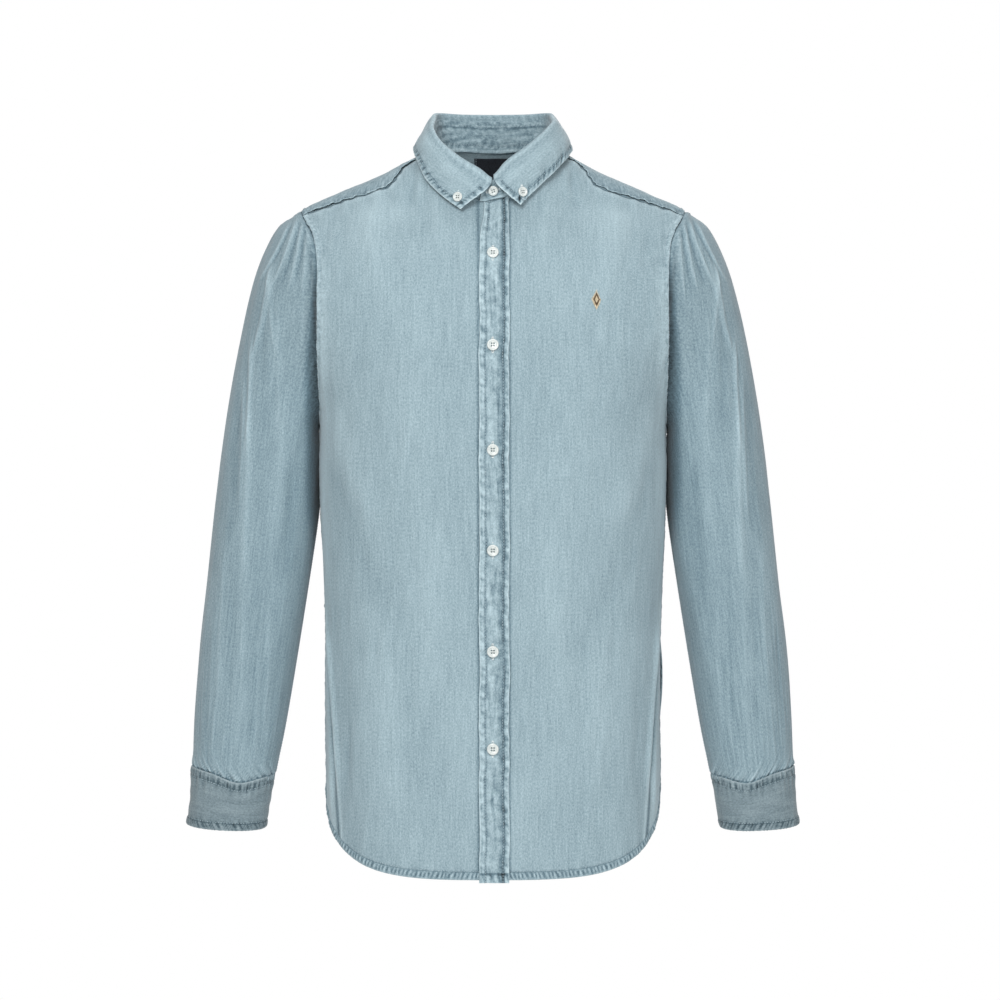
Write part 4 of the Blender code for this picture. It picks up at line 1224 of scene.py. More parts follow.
def make_materials():
    """Every finish of the shirt."""
    group = woven_group()
    return {
        "denim": cloth_material("denim", group, (0.128, 0.204, 0.247), (0.455, 0.59, 0.642)),
        "cuff": cloth_material("denim_cuff", group, (0.078, 0.124, 0.148), (0.305, 0.385, 0.418)),
        "thread": mottled_material("seam_thread", (0.25, 0.34, 0.39), (0.44, 0.54, 0.58), scale=260,
                                   roughness=0.75),
        "pale_thread": mottled_material("button_thread", (0.62, 0.7, 0.72), (0.85, 0.89, 0.88), scale=260,
                                        roughness=0.75),
        "pearl": mottled_material("pearl_button", (0.62, 0.68, 0.67), (0.84, 0.86, 0.82), scale=210,
                                  stretch=0.4, roughness=0.24, Coat_Weight=0.35, Coat_Roughness=0.12),
        "label": mottled_material("label_tape", (0.01, 0.013, 0.018), (0.026, 0.031, 0.04), scale=900,
                                  stretch=0.25, roughness=0.7),
        "gold": mottled_material("tan_thread", (0.5, 0.41, 0.26), (0.76, 0.68, 0.52), scale=500,
                                 roughness=0.6),
        "brown": mottled_material("brown_thread", (0.09, 0.055, 0.03), (0.17, 0.11, 0.065), scale=500,
                                  roughness=0.6),
    }


# ---- creases, by the photo
BODY_CREASES = millimetres(Crease,
    (176.5, -468, 161, -684, 1, 2.2, 3.2),
    (177.5, -500, 166.5, -690, 1, 2, -2.8),
    (171, -575, 169, -700, -1, 1.8, 1.4),
    (153, -520, 154, -700, 2, 4, -0.9),
    (77, -6, 80, -50, 1, 3.5, 1.3),
    (84, -8, 89, -60, 2, 4, -1),
    (60, -22, 48, -110, -4, 9, 1.1),
    (130, -40, 105, -170, -6, 11, 1),
    (171, -250, 120, -395, -8, 12, 1.4),
    (168, -300, 100, -500, -10, 14, -1.2),
    (60, -360, 78, -610, 6, 13, 1),
    (110, -470, 98, -700, -5, 12, 1.1),
)
SLEEVE_CREASES = millimetres(Crease,
    (233, -98, 258, -222, 3, 1.6, 1.8),
    (229, -104, 252, -206, 2, 1.3, 1.2),
    (256, -180, 260, -320, 1, 1.8, 2.4),
    (260, -240, 264, -470, 2, 4.8, 1.6),
    (265, -215, 270, -400, 2, 1.6, 1),
    (238, -112, 228, -215, -2, 1.6, 1.5),
    (226, -150, 224, -290, -2, 1.6, 0.9),
    (246, -150, 243, -300, 2, 4.5, -0.9),
    (272, -230, 279, -420, 3, 5, -0.8),
    (222, -230, 232, -420, 3, 7, 0.9),
    (212, -300, 224, -470, 3, 5.5, -0.8),
    (285, -400, 292, -590, 2, 3, 0.7),
    (274, -430, 283, -620, 2, 2.6, -0.7),
    (262, -440, 266, -620, -1, 2.4, 0.7),
    (249, -400, 254, -630, 2, 2.6, -0.7),
    (236, -460, 243, -625, 2, 2.2, 0.7),
    (300, -480, 305, -625, 1, 2.4, -0.6),
    (247, -520, 252, -640, 1, 1.4, 0.8),
    (279, -540, 286, -640, 1, 1.4, 0.8),
    (292, -560, 299, -640, 1, 1.3, 0.6),
    (268, -560, 272, -642, 1, 1.3, 0.7),
)
PLACKET_CREASES = millimetres(Crease,
    (6.5, -214, 4, -262, 0.8, 0.8, -0.8),
    (-2, -222, 1, -252, -0.6, 0.8, -0.7),
    (6.8, -236, 6.2, -306, 1, 0.8, -1),
    (-3.8, -318, -2.8, -352, 0.6, 0.9, -0.7),
    (2, -322, 6, -366, -1, 0.9, -0.9),
    (-4, -350, 0, -402, 1.2, 0.9, -0.8),
    (4.8, -424, 1.5, -470, 1, 0.9, -0.9),
    (-3, -436, 2.2, -506, -1.2, 1, -0.8),
    (6, -530, 2.2, -588, 0.8, 0.9, -0.9),
    (-4.5, -545, -0.5, -610, 1, 0.9, -0.7),
    (4.2, -632, -1.8, -690, 1, 1, -0.9),
    (-3, -650, 3.5, -735, -1.2, 1, -0.8),
    (3.5, -66, 6, -100, 0.6, 0.9, -1),
    (-5, -52, -3.5, -94, 0.8, 0.9, -0.9),
    (1, -116, 5, -176, 1.2, 0.9, -0.9),
    (-4.5, -128, -1, -192, -0.8, 0.9, -0.8),
)
HEAD_CREASES = millimetres(Crease,
    (206, -58, 236, -140, 3, 1.3, 1.7),
    (203, -61, 226, -142, 2, 1.2, -1.2),
    (201, -62, 218, -150, 2, 1.3, 1.6),
    (198, -66, 209, -140, 1, 1.2, -1.1),
    (195, -70, 203, -160, 1, 1.3, 1.3),
    (210, -59, 243, -124, 3, 1.2, -1),
    (214, -61, 252, -136, 3, 1.3, 1.4),
    (191, -84, 194, -160, 1, 1.3, -0.9),
)


def shifted(rows, across, down, share):
    """The same creases a little way off, for a side the photo doesn't show."""
    return tuple(Crease(row.x0 + across, row.z0 + down, row.x1 + across, row.z1 + down, -row.bow,
                        row.width * 1.2, row.height * share) for row in rows)


# The cloth from mid front to the side seam, and the half width it is spread over.
HALF_GIRTH = 0.265
GRAIN_WIDTH = 0.19


def body_grain(points, start):
    """Places on the flat cloth of the body, whose grain is upright."""
    x, z = points[..., 0], points[..., 2]
    width = np.minimum(half_width(z), GRAIN_WIDTH)
    reach = bounded(np.abs(x) / width)
    around = np.interp(reach, ARC_WIDTH_SHARE, ARC_LENGTH_SHARE) * HALF_GIRTH
    above = ease((z - ARMPIT_HEIGHT) / 0.1)
    drop = bounded((shoulder_line(x) - z) / SHOULDER_ROLL)
    roll = np.sqrt(1 - (1 - drop) ** 2)
    across = np.sign(x) * mix(around, np.abs(x) * 1.05, above)
    return across + start, 0.09 * roll - z + start


def body_folds(cloth, hand, rows, seed):
    """The creases and the soft unevenness of a front."""
    x, z = cloth.base[..., 0] * hand, cloth.base[..., 2]
    cloth.fold(crease_heights(x, z, rows), 0.5)
    cloth.fold(0.0011 * swell(cloth.across, cloth.along * 0.35, 0.075, seed), 0.25)
    cloth.fold(0.00035 * swell(cloth.across, cloth.along * 0.22, 0.017, seed + 1), 0.5)


# ---- the body
WHOLE = (0.0, 1.0)
ENDS = ("first_u", "last_u")

# The sharp fold down each side of the fronts: its top and its slant.
SIDE_RIDGE_TOP = (0.177, -0.468)
SIDE_RIDGE_SLANT = 0.072


def paint_side_fold_light(cloth):
    """Painted light and shade on the fold down a side: a painted highlight on its crest, a painted shadow
    line beside it, and painted light on the band past it.
    """
    x, z = cloth.base[..., 0], cloth.base[..., 2]
    off = np.abs(x) - SIDE_RIDGE_TOP[0] - (z - SIDE_RIDGE_TOP[1]) * SIDE_RIDGE_SLANT
    below = ease((SIDE_RIDGE_TOP[1] + 0.015 - z) / 0.04)
    cloth.wear += 2.2 * below * stripe(off, 0.0, 0.0011)
    cloth.wear -= 3.4 * below * stripe(off, 0.0028, 0.0014)
    cloth.wear += 1.2 * below * ease((off - 0.001) / 0.004)


def brighten_front(cloth, yoke_reach):
    """Pale places of a front: a band below the yoke seam, a patch on the shoulder, a band by the armhole
    seam's top, and a painted highlight down each side.
    """
    x, z = cloth.base[..., 0], cloth.base[..., 2]
    from_yoke, _ = cloth.from_edge("last_v")
    cloth.wear += 0.9 * yoke_reach * stripe(from_yoke, UNDER + 0.0055, 0.0035)
    cloth.wear += 0.55 * stripe(np.abs(x), 0.118, 0.034) * stripe(z, -0.062, 0.013)
    # Painted highlight down the body's sides, where the cloth turns away from the front lamps.
    side = ease((np.abs(x) - 0.168) / 0.012) * ease((-0.1 - z) / 0.04) * ease((z + 0.6) / 0.08)
    cloth.wear += 1.3 * side
    from_armhole, _ = cloth.from_edge("last_u")
    cloth.wear += 1.3 * (1 - ease((from_armhole - 0.0065) / 0.003)) * ease((z + 0.135) / 0.04)


def shade_beside_placket(cloth):
    """The shade on both sides of the placket."""
    x, z = cloth.base[..., 0], cloth.base[..., 2]
    cloth.wear -= 2.2 * stripe(x, PLACKET_LEFT - 0.0012, 0.0012)
    cloth.wear -= 2.0 * stripe(x, PLACKET_RIGHT + 0.0008, 0.0011)
    cloth.wear -= 0.8 * stripe(x, -0.0175, 0.0045) * ease((z + 0.14) / 0.05)


def stitch_ends(thread, cloth, first=0.0):
    """Two rows of stitches at each end of a piece."""
    for edge in ENDS:
        thread.row(cloth.line(edge, EDGE_STITCH, first=first))
        thread.row(cloth.line(edge, SEW_WIDTH + STITCH_PAST, first=first))


def make_fronts(materials, thread):
    """Both fronts with their hems, by side."""
    made = {}
    for hand, side in SIDE_NAMES:
        seed = 11 if hand < 0 else 31
        form = front_form(FRONT_SPLIT + hand * SEAM_GAP / 2, hand)
        us = paced_across(form, 0.3, WHOLE, middle=0.003, close=0.0013, reach=0.034)
        vs = paced_along(form, 0.5, WHOLE, middle=0.0044, close=0.0012)
        cloth = Cloth(form, us, vs, torso_normal, smooth=True)
        cloth.carry_on("last_v")
        cloth.across, cloth.along = body_grain(cloth.base, 0.0)
        yoke_reach = 1 - cloth.s / cloth.s[-1:] * 0.45
        cloth.tuck("last_v", drop=0.002, rise=0.004)
        cloth.sew("last_v", 0.0005, rise=0.0, pucker=0.0013, wave=0.0085, seed=seed, under=UNDER,
                  reach=0.008, beyond=1.1, slant=0.1, weight=yoke_reach, shade=0.6, piping=0.0, dark=2.4)
        cloth.sew("last_u", SEW_WIDTH, rise=0.0005, pucker=0.0005, wave=0.012, seed=seed + 2, reach=0.012)
        cloth.sew("first_v", HEM_WIDTH, rise=0.0, pucker=0.0004, wave=0.011, seed=seed + 4,
                  reach=0.012, shade=0.5, stitch=2.2)
        body_folds(cloth, hand, BODY_CREASES, seed + 6)
        brighten_front(cloth, yoke_reach)
        paint_side_fold_light(cloth)
        shade_beside_placket(cloth)
        piece = make_shell(f"cloth_front_{side}", cloth, WALL, materials["denim"])
        hem = make_hem(f"hem_{side}", cloth, materials["denim"], seed + 8)
        thread.row(cloth.line("last_u", EDGE_STITCH))
        thread.row(cloth.line("last_u", SEW_WIDTH + STITCH_PAST))
        thread.row(cloth.line("first_v", HEM_WIDTH + 2 * STITCH_PAST))
        made[side] = (cloth, piece, hem)
    return made


def make_back(materials, thread):
    """The back below the yoke, and its hem."""
    us = paced_across(back_form, 0.3, WHOLE, middle=0.0042, close=0.0017)
    vs = paced_along(back_form, 0.3, WHOLE, middle=0.005, close=0.0014)
    cloth = Cloth(back_form, us, vs, torso_normal, smooth=True)
    cloth.carry_on("last_v")
    cloth.across, cloth.along = body_grain(cloth.base, 2.0)
    above = ease((cloth.t - SIDE_SEAM_SHARE * cloth.t[:, -1:]) / 0.02)
    cloth.tuck("last_v")
    for edge in ENDS:
        cloth.tuck(edge, 0.0, WALL, 0.006, weight=1 - above)
        cloth.sew(edge, SEW_WIDTH, rise=0.0004, pucker=0.0005, wave=0.012, seed=53, weight=above)
    cloth.sew("last_v", 0.0005, rise=0.0, pucker=0.0009, wave=0.0095, seed=57, under=UNDER,
              reach=0.012, slant=0.1, shade=0.7, piping=0.0, dark=2.5)
    cloth.sew("first_v", HEM_WIDTH, rise=0.0, pucker=0.0004, wave=0.011, seed=59, reach=0.012, shade=0.5,
              stitch=2.2)
    folds = shifted(BODY_CREASES, 0.006, -0.012, 0.9)
    x, z = cloth.base[..., 0], cloth.base[..., 2]
    heights = crease_heights(x, z, folds) + crease_heights(-x, z, shifted(folds, -0.009, 0.014, 0.9))
    cloth.fold(heights, 0.5)
    cloth.fold(0.0012 * swell(cloth.across, cloth.along * 0.35, 0.08, 61), 0.25)
    cloth.fold(0.00035 * swell(cloth.across, cloth.along * 0.22, 0.017, 63), 0.5)
    piece = make_shell("cloth_back", cloth, WALL, materials["denim"])
    hem = make_hem("hem_back", cloth, materials["denim"], 65)
    stitch_ends(thread, cloth, first=float(np.median(cloth.t[:, -1])) * SIDE_SEAM_SHARE)
    thread.row(cloth.line("first_v", HEM_WIDTH + 2 * STITCH_PAST))
    return piece, hem


YOKE_SEW_WIDTH = 0.0036
YOKE_STITCH = 0.004


def make_yoke(materials, thread):
    """The yoke over both shoulders."""
    us = paced_across(yoke_form, 0.0, WHOLE, middle=0.0023, close=0.0015)
    vs = paced_along(yoke_form, 0.2, WHOLE, middle=0.0034, close=0.0013)
    cloth = Cloth(yoke_form, us, vs, torso_normal, smooth=True)
    reach = np.abs(us * 2 - 1)[:, None]
    on_front = ease((reach - 1 + 2 * YOKE_SEAM_SHARE) / 0.04)
    inward = unit(cloth.base[:, 2:3] - cloth.base[:, :1])
    jog = 0.0011 * wander(cloth.s, 0.019, 70) + 0.0006 * wander(cloth.s, 0.007, 69)
    cloth.base = cloth.base + inward * (jog * on_front * np.exp(-cloth.t / 0.012))[..., None]
    cloth.across = 0.8 * cloth.base[..., 2] - 0.9 * cloth.base[..., 1]
    cloth.along = cloth.base[..., 0]
    cloth.sew("first_v", YOKE_SEW_WIDTH, rise=0.0008, pucker=0.0008, wave=0.008, seed=71,
              weight=on_front, slant=0.8, piping=1.5)
    cloth.sew("last_v", YOKE_SEW_WIDTH, rise=0.0006, pucker=0.0005, wave=0.009, seed=73)
    for edge in ENDS:
        cloth.sew(edge, SEW_WIDTH, rise=0.0004, pucker=0.0005, wave=0.01, seed=75)
    cloth.fold(0.0008 * swell(cloth.along * 0.6, cloth.across, 0.045, 77), 0.4)
    cloth.fold(0.0003 * swell(cloth.along * 0.3, cloth.across, 0.012, 79), 0.5)
    for edge in ENDS:
        near, _ = cloth.from_edge(edge)
        cloth.lift -= 0.0014 * (1 - ease(near / 0.012))
    cloth.wear -= 0.6
    piece = make_shell("cloth_yoke", cloth, WALL, materials["denim"])
    seam = float(np.max(cloth.s)) * YOKE_SEAM_SHARE
    points, directions = cloth.line("first_v", YOKE_STITCH)
    run = lengths_along(points[None], 1)[0]
    for kept in (run < seam, run > run[-1] - seam):
        thread.row((points[kept], directions[kept]))
    thread.row(cloth.line("last_v", YOKE_STITCH))
    stitch_ends(thread, cloth)
    return piece


# The placket's length, how far its top is drawn in and runs on under the stand, and how
# far the stand's foot climbs over it.
PLACKET_LENGTH = 0.7
PLACKET_DRAWN_IN = 0.0062
FOOT_REACH = 0.0105
FOOT_RISE = 0.0066
PLACKET_STITCHES = (("first_u", 0.0066), ("last_u", 0.0064))


def foot_rise(x):
    """How far the foot of the stand climbs over the placket."""
    return FOOT_RISE * bounded((x + 0.0062) / 0.019) * (1 - ease((x - 0.0145) / 0.007))


def fade_and_shade_placket(cloth):
    """The placket's pale edges and middle, and the fold beside its top, with painted shade in its groove
    and a pale line beside it.
    """
    from_left, _ = cloth.from_edge("first_u")
    from_right, _ = cloth.from_edge("last_u")
    cloth.wear -= 1.1 * stripe(from_right, 0.0072, 0.0026)
    cloth.wear += 1.3 * stripe(from_left, 0.0038, 0.0016)
    cloth.wear += 0.9 * stripe(from_right, 0.0028, 0.0013)
    cloth.wear += 0.9 * ease(from_left / 0.009) * ease((from_right - 0.01) / 0.004) - 0.1
    x, z = cloth.base[..., 0], cloth.base[..., 2]
    high = ease((z + 0.15) / 0.06)
    # Painted shade in the groove of the fold beside the placket's top.
    cloth.wear -= 1.5 * high * stripe(x, 0.0118, 0.0022)
    cloth.wear += 0.9 * high * stripe(x - (z + 0.06) * 0.05, 0.0075, 0.0014)
    cloth.lift -= 0.0009 * high * stripe(x, 0.0118, 0.0024)


def make_placket(materials, thread):
    """The front placket, which runs on under the collar stand."""
    top = 1 - PLACKET_TOP_GAP / PLACKET_LENGTH
    us = paced_across(placket_form, 0.4, WHOLE, middle=0.0013, close=0.0011, reach=0.008)
    vs = paced_along(placket_form, 0.5, (0.0, top), middle=0.0021, close=0.0012)
    cloth = Cloth(placket_form, us, vs, torso_normal, smooth=True)
    cloth.carry_on("last_v", depth=FOOT_REACH)
    foot = FOOT_REACH - foot_rise(cloth.base[..., 0])
    wobble = 0.0007 * wander(cloth.t, 0.11, 80) + 0.0004 * wander(cloth.t, 0.034, 82)
    cloth.base[..., 0] += wobble * ease(cloth.t / 0.02)
    drawn = ease((cloth.base[..., 2] + 0.1) / 0.05) * (1 - cloth.s / cloth.s[-1:])
    cloth.base[..., 0] += PLACKET_DRAWN_IN * drawn
    cloth.lift += PLACKET_LIFT + PLACKET_WALL
    cloth.sew("first_u", 0.0066, rise=0.0006, pucker=0.0005, wave=0.0095, seed=81, reach=0.006, slant=0.5,
              piping=3.2, stitch=2.6, mark=1.4)
    cloth.sew("last_u", 0.006, rise=0.0005, pucker=0.0006, wave=0.0085, seed=83, reach=0.006, slant=-0.6,
              piping=3.0, stitch=2.6, mark=1.4)
    cloth.fold(crease_heights(cloth.base[..., 0], cloth.base[..., 2], PLACKET_CREASES), 2.6)
    cloth.sew("first_v", 0.0092, rise=0.0006, pucker=0.0005, wave=0.0062, seed=85, slant=0.3, reach=0.004,
              stitch=3.4, mark=1.4, dashes=3.5)
    from_top, _ = cloth.from_edge("last_v")
    cloth.tuck("last_v", foot, 0.0024, 0.004)
    # Painted shadow on the placket just below the foot of the stand.
    cloth.wear -= 2.2 * stripe(from_top - foot, 0.0016, 0.0013)
    cloth.fold(0.0005 * swell(cloth.s, cloth.t * 0.7, 0.013, 87), 2.6)
    cloth.seam = np.maximum(cloth.seam, 0.75)
    fade_and_shade_placket(cloth)
    piece = make_shell("cloth_placket", cloth, PLACKET_WALL, materials["denim"])
    for edge, distance in PLACKET_STITCHES:
        thread.row(cloth.line(edge, distance))
    return cloth, piece


# ---- the collar
def stand_lap(bearing):
    """The wearer's left end of the stand laps over the right end."""
    lap = STAND_WALL + STAND_LAP_GAP
    return lap * ease((bearing - STAND_LAP_START) / (STAND_LAP_END - STAND_LAP_START))


# The stand's rows of stitches, and how many columns of its lapped end show them in front.
STAND_ROWS = (0.12, 0.9)
STAND_END_COLUMNS = 24


def fade_stand(cloth, up, from_end):
    """The stand's pale ribs along both edges, and its pale end."""
    share = bounded(up)
    rib = stripe(share, 0.1, 0.07) + stripe(share, 0.93, 0.07)
    cloth.wear += 1.3 * swell(cloth.s * 0.8, cloth.t, 0.006, 91) + 0.15
    cloth.wear += 1.6 * rib * wander(cloth.s, 0.0055, 92)
    cloth.wear -= 1.8 * stripe(share, 0.84, 0.05) + 1.2 * stripe(share, 0.19, 0.05)
    cloth.wear += 3.4 * stripe(from_end, 0.0, 0.0014) + 2.4 * stripe(up, -0.1, 0.045)
    cloth.seam += 0.9


def make_stand(materials, thread):
    """The collar stand, lapped in front, with a rounded end."""
    end = math.pi + STAND_OVERLAP
    us = paced_across(stand_form, 0.5, (-end, end), middle=0.002, close=0.0012)
    vs = np.concatenate((np.linspace(-0.16, 0.0, 3)[:-1], np.linspace(0.0, 1.0, 14), (1.07, 1.12, 1.14)))
    cloth = Cloth(stand_form, us, vs, from_axis)
    bearing, up = np.meshgrid(us, vs, indexing="ij")
    share = bounded(up)
    cloth.lift += stand_lap(bearing)
    from_end = (end - np.abs(bearing)) * NECK_HALF_WIDTH
    round_end = 1 - np.sqrt(1 - (1 - bounded(from_end / 0.01)) ** 2)
    height = np.linalg.norm(cloth.base[:, -1:] - cloth.base[:, :1], axis=-1)
    cloth.base[..., 2] -= round_end * height * ease((share - 0.35) / 0.65) * 0.45
    ahead = ease((np.abs(bearing) - 2.3) / 0.3)
    cloth.base[..., 2] += foot_rise(cloth.base[..., 0]) * ahead * (1 - ease(share / 0.55))
    cloth.lift += 0.0005 * swell(cloth.s, cloth.t, 0.006, 91) + 0.0003
    cloth.lift += 0.0006 * stripe(share, 0.06, 0.1)
    fade_stand(cloth, up, from_end)
    cloth.across, cloth.along = cloth.t, cloth.s
    piece = make_shell("cloth_collar_stand", cloth, STAND_WALL, materials["denim"], inside=1.0)
    for row in STAND_ROWS:
        lane = np.argmin(np.abs(vs - row))
        inside = cloth.skin[:, lane] - cloth.facings[:, lane] * STAND_WALL
        thread.row((inside, -cloth.facings[:, lane]))
        thread.row((cloth.skin[-STAND_END_COLUMNS:, lane], cloth.facings[-STAND_END_COLUMNS:, lane]))
    return cloth, piece


# The stitches stop this far from the leaf's points, where its two rows meet.
LEAF_POINT_GAP = 0.0064
LEAF_SEAMS = (("last_v", 101, 0.0008, 4.5), ("first_u", 103, 0.0006, 4.0), ("last_u", 105, 0.0006, 4.0))


def make_leaf(materials, thread):
    """The collar leaf."""
    end = math.pi - LEAF_START
    us = paced_across(leaf_form, 0.9, (-end, end), middle=0.0016, close=0.0011)
    vs = paced_along(leaf_form, 2.0, WHOLE, middle=0.0017, close=0.0011, reach=0.01)
    cloth = Cloth(leaf_form, us, vs, from_axis)
    cloth.lift += LEAF_WALL / 2
    down = cloth.t / cloth.t[:, -1:]
    fall = ease((down - ROLL_END) / 0.15)
    for edge, seed, pucker, dashes in LEAF_SEAMS:
        cloth.sew(edge, SEW_WIDTH, rise=0.0006, pucker=pucker, wave=0.0062, seed=seed, slant=0.4,
                  weight=fall, reach=0.005, piping=3.6, stitch=2.0, mark=1.2, dashes=dashes)
    cloth.fold(0.0006 * fall * swell(cloth.s, cloth.t, 0.028, 107), 0.5)
    cloth.wear += 1.3 * stripe(down, 0.2, 0.05) + 0.45
    cloth.wear += (0.6 * wander(cloth.s, 0.007, 109) - 0.8) * (1 - fall)
    cloth.across, cloth.along = cloth.t, cloth.s
    piece = make_shell("cloth_collar_leaf", cloth, LEAF_WALL, materials["denim"])
    thread.row(cloth.line("last_v", SEW_WIDTH, LEAF_POINT_GAP, LEAF_POINT_GAP))
    past_roll = float(cloth.t[0, -1]) * ROLL_END
    for edge in ENDS:
        thread.row(cloth.line(edge, SEW_WIDTH, past_roll, LEAF_POINT_GAP))
    return cloth, piece


# ---- sleeves and cuffs
def from_seam(cloth):
    """Distance round a sleeve from its seam under the arm."""
    whole = cloth.s[-1:] + cloth.s[1:2]
    return np.minimum(cloth.s, whole - cloth.s)


# How far a wrist seam sags in front, where, and how wide and high.
WRIST_DIP = 0.0085
WRIST_DIP_REACH = 0.268
WRIST_DIP_WIDTH = 0.023
WRIST_DIP_RUN = 0.05


def wrist_dip(points, hand):
    """How far the seam between a sleeve and its cuff sags in front."""
    middle = stripe(points[..., 0] * hand, WRIST_DIP_REACH, WRIST_DIP_WIDTH)
    return WRIST_DIP * (middle - 0.3) * ease((0.006 - points[..., 1]) / 0.024)


SLEEVE_COLUMNS = 204
SLEEVE_RADIUS = 0.066
ELBOW_RING = 5.0

# The middle line of a sleeve, by height.
Middle = namedtuple("Middle", "height reach depth")
SLEEVE_MIDDLES = millimetres(Middle,
    (-720, 283, -11),
    (-650, 275, -10),
    (-500, 258, 4),
    (-300, 236, 20),
    (-200, 224, 21.5),
    (-100, 214.5, 15),
    (-50, 210, 3),
)


def sleeve_middle(z):
    """Reach and depth of a sleeve's middle line at a height."""
    heights = [row.height for row in SLEEVE_MIDDLES]
    reach = np.interp(z, heights, [row.reach for row in SLEEVE_MIDDLES])
    return reach, np.interp(z, heights, [row.depth for row in SLEEVE_MIDDLES])


def sleeve_grain(points, hand):
    """Places on the flat cloth of a sleeve."""
    z = points[..., 2]
    middle_reach, middle_depth = sleeve_middle(z)
    reach = points[..., 0] * hand - middle_reach
    depth = points[..., 1] - middle_depth
    return np.arctan2(-depth, reach) * SLEEVE_RADIUS + 4.0 + hand, 5.0 - z


def set_sleeve_head(cloth, beside):
    """Lay a sleeve's head against the body, and draw its flanks in."""
    near, _ = cloth.from_edge("first_v")
    held = 1 - ease((near - UNDER) / 0.006)
    cloth.normals = unit(mix(cloth.normals, torso_normal(cloth.base), held[..., None] * 0.98))
    cloth.tuck("first_v", drop=0.0018)
    _, depth = sleeve_middle(cloth.base[..., 2])
    flank = np.clip((cloth.base[..., 1] - depth) / 0.045, -1, 1)
    cloth.base[..., 1] -= 0.008 * flank * beside * stripe(np.clip(near - 0.004, 0, None), 0.0, 0.02)


def sleeve_creases(cloth, hand, outer_depth):
    """Heights of a sleeve's creases, the photo's in front and others behind."""
    x, z = cloth.base[..., 0] * hand, cloth.base[..., 2]
    ahead = crease_heights(x, z, SLEEVE_CREASES + HEAD_CREASES)
    behind = shifted(SLEEVE_CREASES, 0.004, -0.01, 0.8) + shifted(HEAD_CREASES, 0.003, -0.004, 0.8)
    return np.where(cloth.base[..., 1] < outer_depth, ahead, crease_heights(x, z, behind))


def make_sleeve(hand, side, materials, thread):
    """A sleeve, gathered above its cuff."""
    seed = 121 if hand < 0 else 151
    form = sleeve_form(hand)
    turns = np.linspace(-math.pi, math.pi, SLEEVE_COLUMNS, endpoint=False)
    angles = turns - 0.34 * np.sin(turns)
    stations = paced_along(form, 0.4, (0.0, len(SLEEVE) - 1.0), middle=0.005, close=0.0018, reach=0.05)
    cloth = Cloth(form, angles, stations, from_ring, closed=True)
    cloth.carry_on("first_v", normals=torso_normal)
    cloth.carry_on("last_v")
    cloth.across, cloth.along = sleeve_grain(cloth.base, hand)
    from_wrist_seam, around = cloth.from_edge("last_v")
    cloth.base[..., 2] -= wrist_dip(cloth.base, hand) * (1 - ease(from_wrist_seam / WRIST_DIP_RUN))
    z = cloth.base[..., 2]
    whole = ease(from_seam(cloth) / 0.012)
    head = whole * ease((z + 0.19) / 0.1)
    beside = ease((-0.095 - z) / 0.06)
    set_sleeve_head(cloth, beside)

    # Painted shadow on the sleeve where it passes behind the body's edge, darkest at the edge and widening
    # lower down.
    shade_width = 0.0045 + 0.0125 * ease((-0.11 - z) / 0.12)
    near_body = 1 - ease((cloth.base[..., 0] * hand - 0.186) / shade_width)
    cloth.wear -= 4.2 * beside * near_body * ease((z + 0.42) / 0.06)
    cloth.lift += 0.0024 * np.exp(-((z + 0.307) / 0.02) ** 2 - (from_seam(cloth) / 0.03) ** 2)

    cloth.tuck("last_v", drop=0.0006, rise=0.003)
    cloth.sew("first_v", 0.0005, rise=0.0, pucker=0.0009, wave=0.0062, seed=seed, under=UNDER,
              reach=0.012, beyond=0.6, slant=0.02, weight=head, shade=0.6, piping=0.0, dark=2.5)
    cloth.sew("last_v", 0.0005, rise=0.0002, pucker=0.0014, wave=0.0052, seed=seed + 2, under=UNDER,
              reach=0.008, beyond=1.3, slant=0.05, weight=whole, shade=0.8, piping=0.0, dark=2.0)
    gathers = np.clip(wander(around, 0.0042, seed + 3), -0.15, 1.0) * 3.4 + 0.5
    cloth.wear += gathers * whole * np.exp(-np.clip(from_wrist_seam - UNDER, 0, None) / 0.0085)

    outer_depth = form(np.zeros((1, 1)), np.full((1, 1), ELBOW_RING))[0, 0, 1]
    heights = sleeve_creases(cloth, hand, outer_depth)
    cloth.fold(heights * whole, 0.85)
    # The creases of the sleeve head are made paler on their ridges and darker in their troughs, as painted
    # light and shade over the fading of worn denim.
    cloth.wear += 0.8 * heights / FULL_FADE_AND_LIGHT_HEIGHT * ease((z + 0.15) / 0.03)
    cloth.fold(0.0007 * whole * swell(cloth.across, cloth.along * 0.16, 0.03, seed + 4), 0.25)
    low = 0.45 + 0.6 * ease((-0.4 - z) / 0.2)
    cloth.fold(0.0003 * low * whole * swell(cloth.across, cloth.along * 0.07, 0.0065, seed + 6), 2.2)
    # The whole sleeve is darker than the body.
    cloth.wear -= 0.8

    under_arm = stripe(from_seam(cloth), 0.0, 0.007)
    cloth.lift += 0.0005 * under_arm
    cloth.seam = np.maximum(cloth.seam, under_arm)
    piece = make_shell(f"cloth_sleeve_{side}", cloth, WALL, materials["denim"], ())
    for column_number in (1, -2):
        thread.row((cloth.skin[column_number, 6:-6], cloth.facings[column_number, 6:-6]))
    return piece


def from_wrist(hand):
    """Away from the upright line through the wrist."""
    middle = np.array((hand * 0.272, -0.008, 0.0))
    return lambda points: (points - middle) * np.array((1.0, 1.0, 0.0))


SLEEVE_PLACKET_LIFT = 0.0032


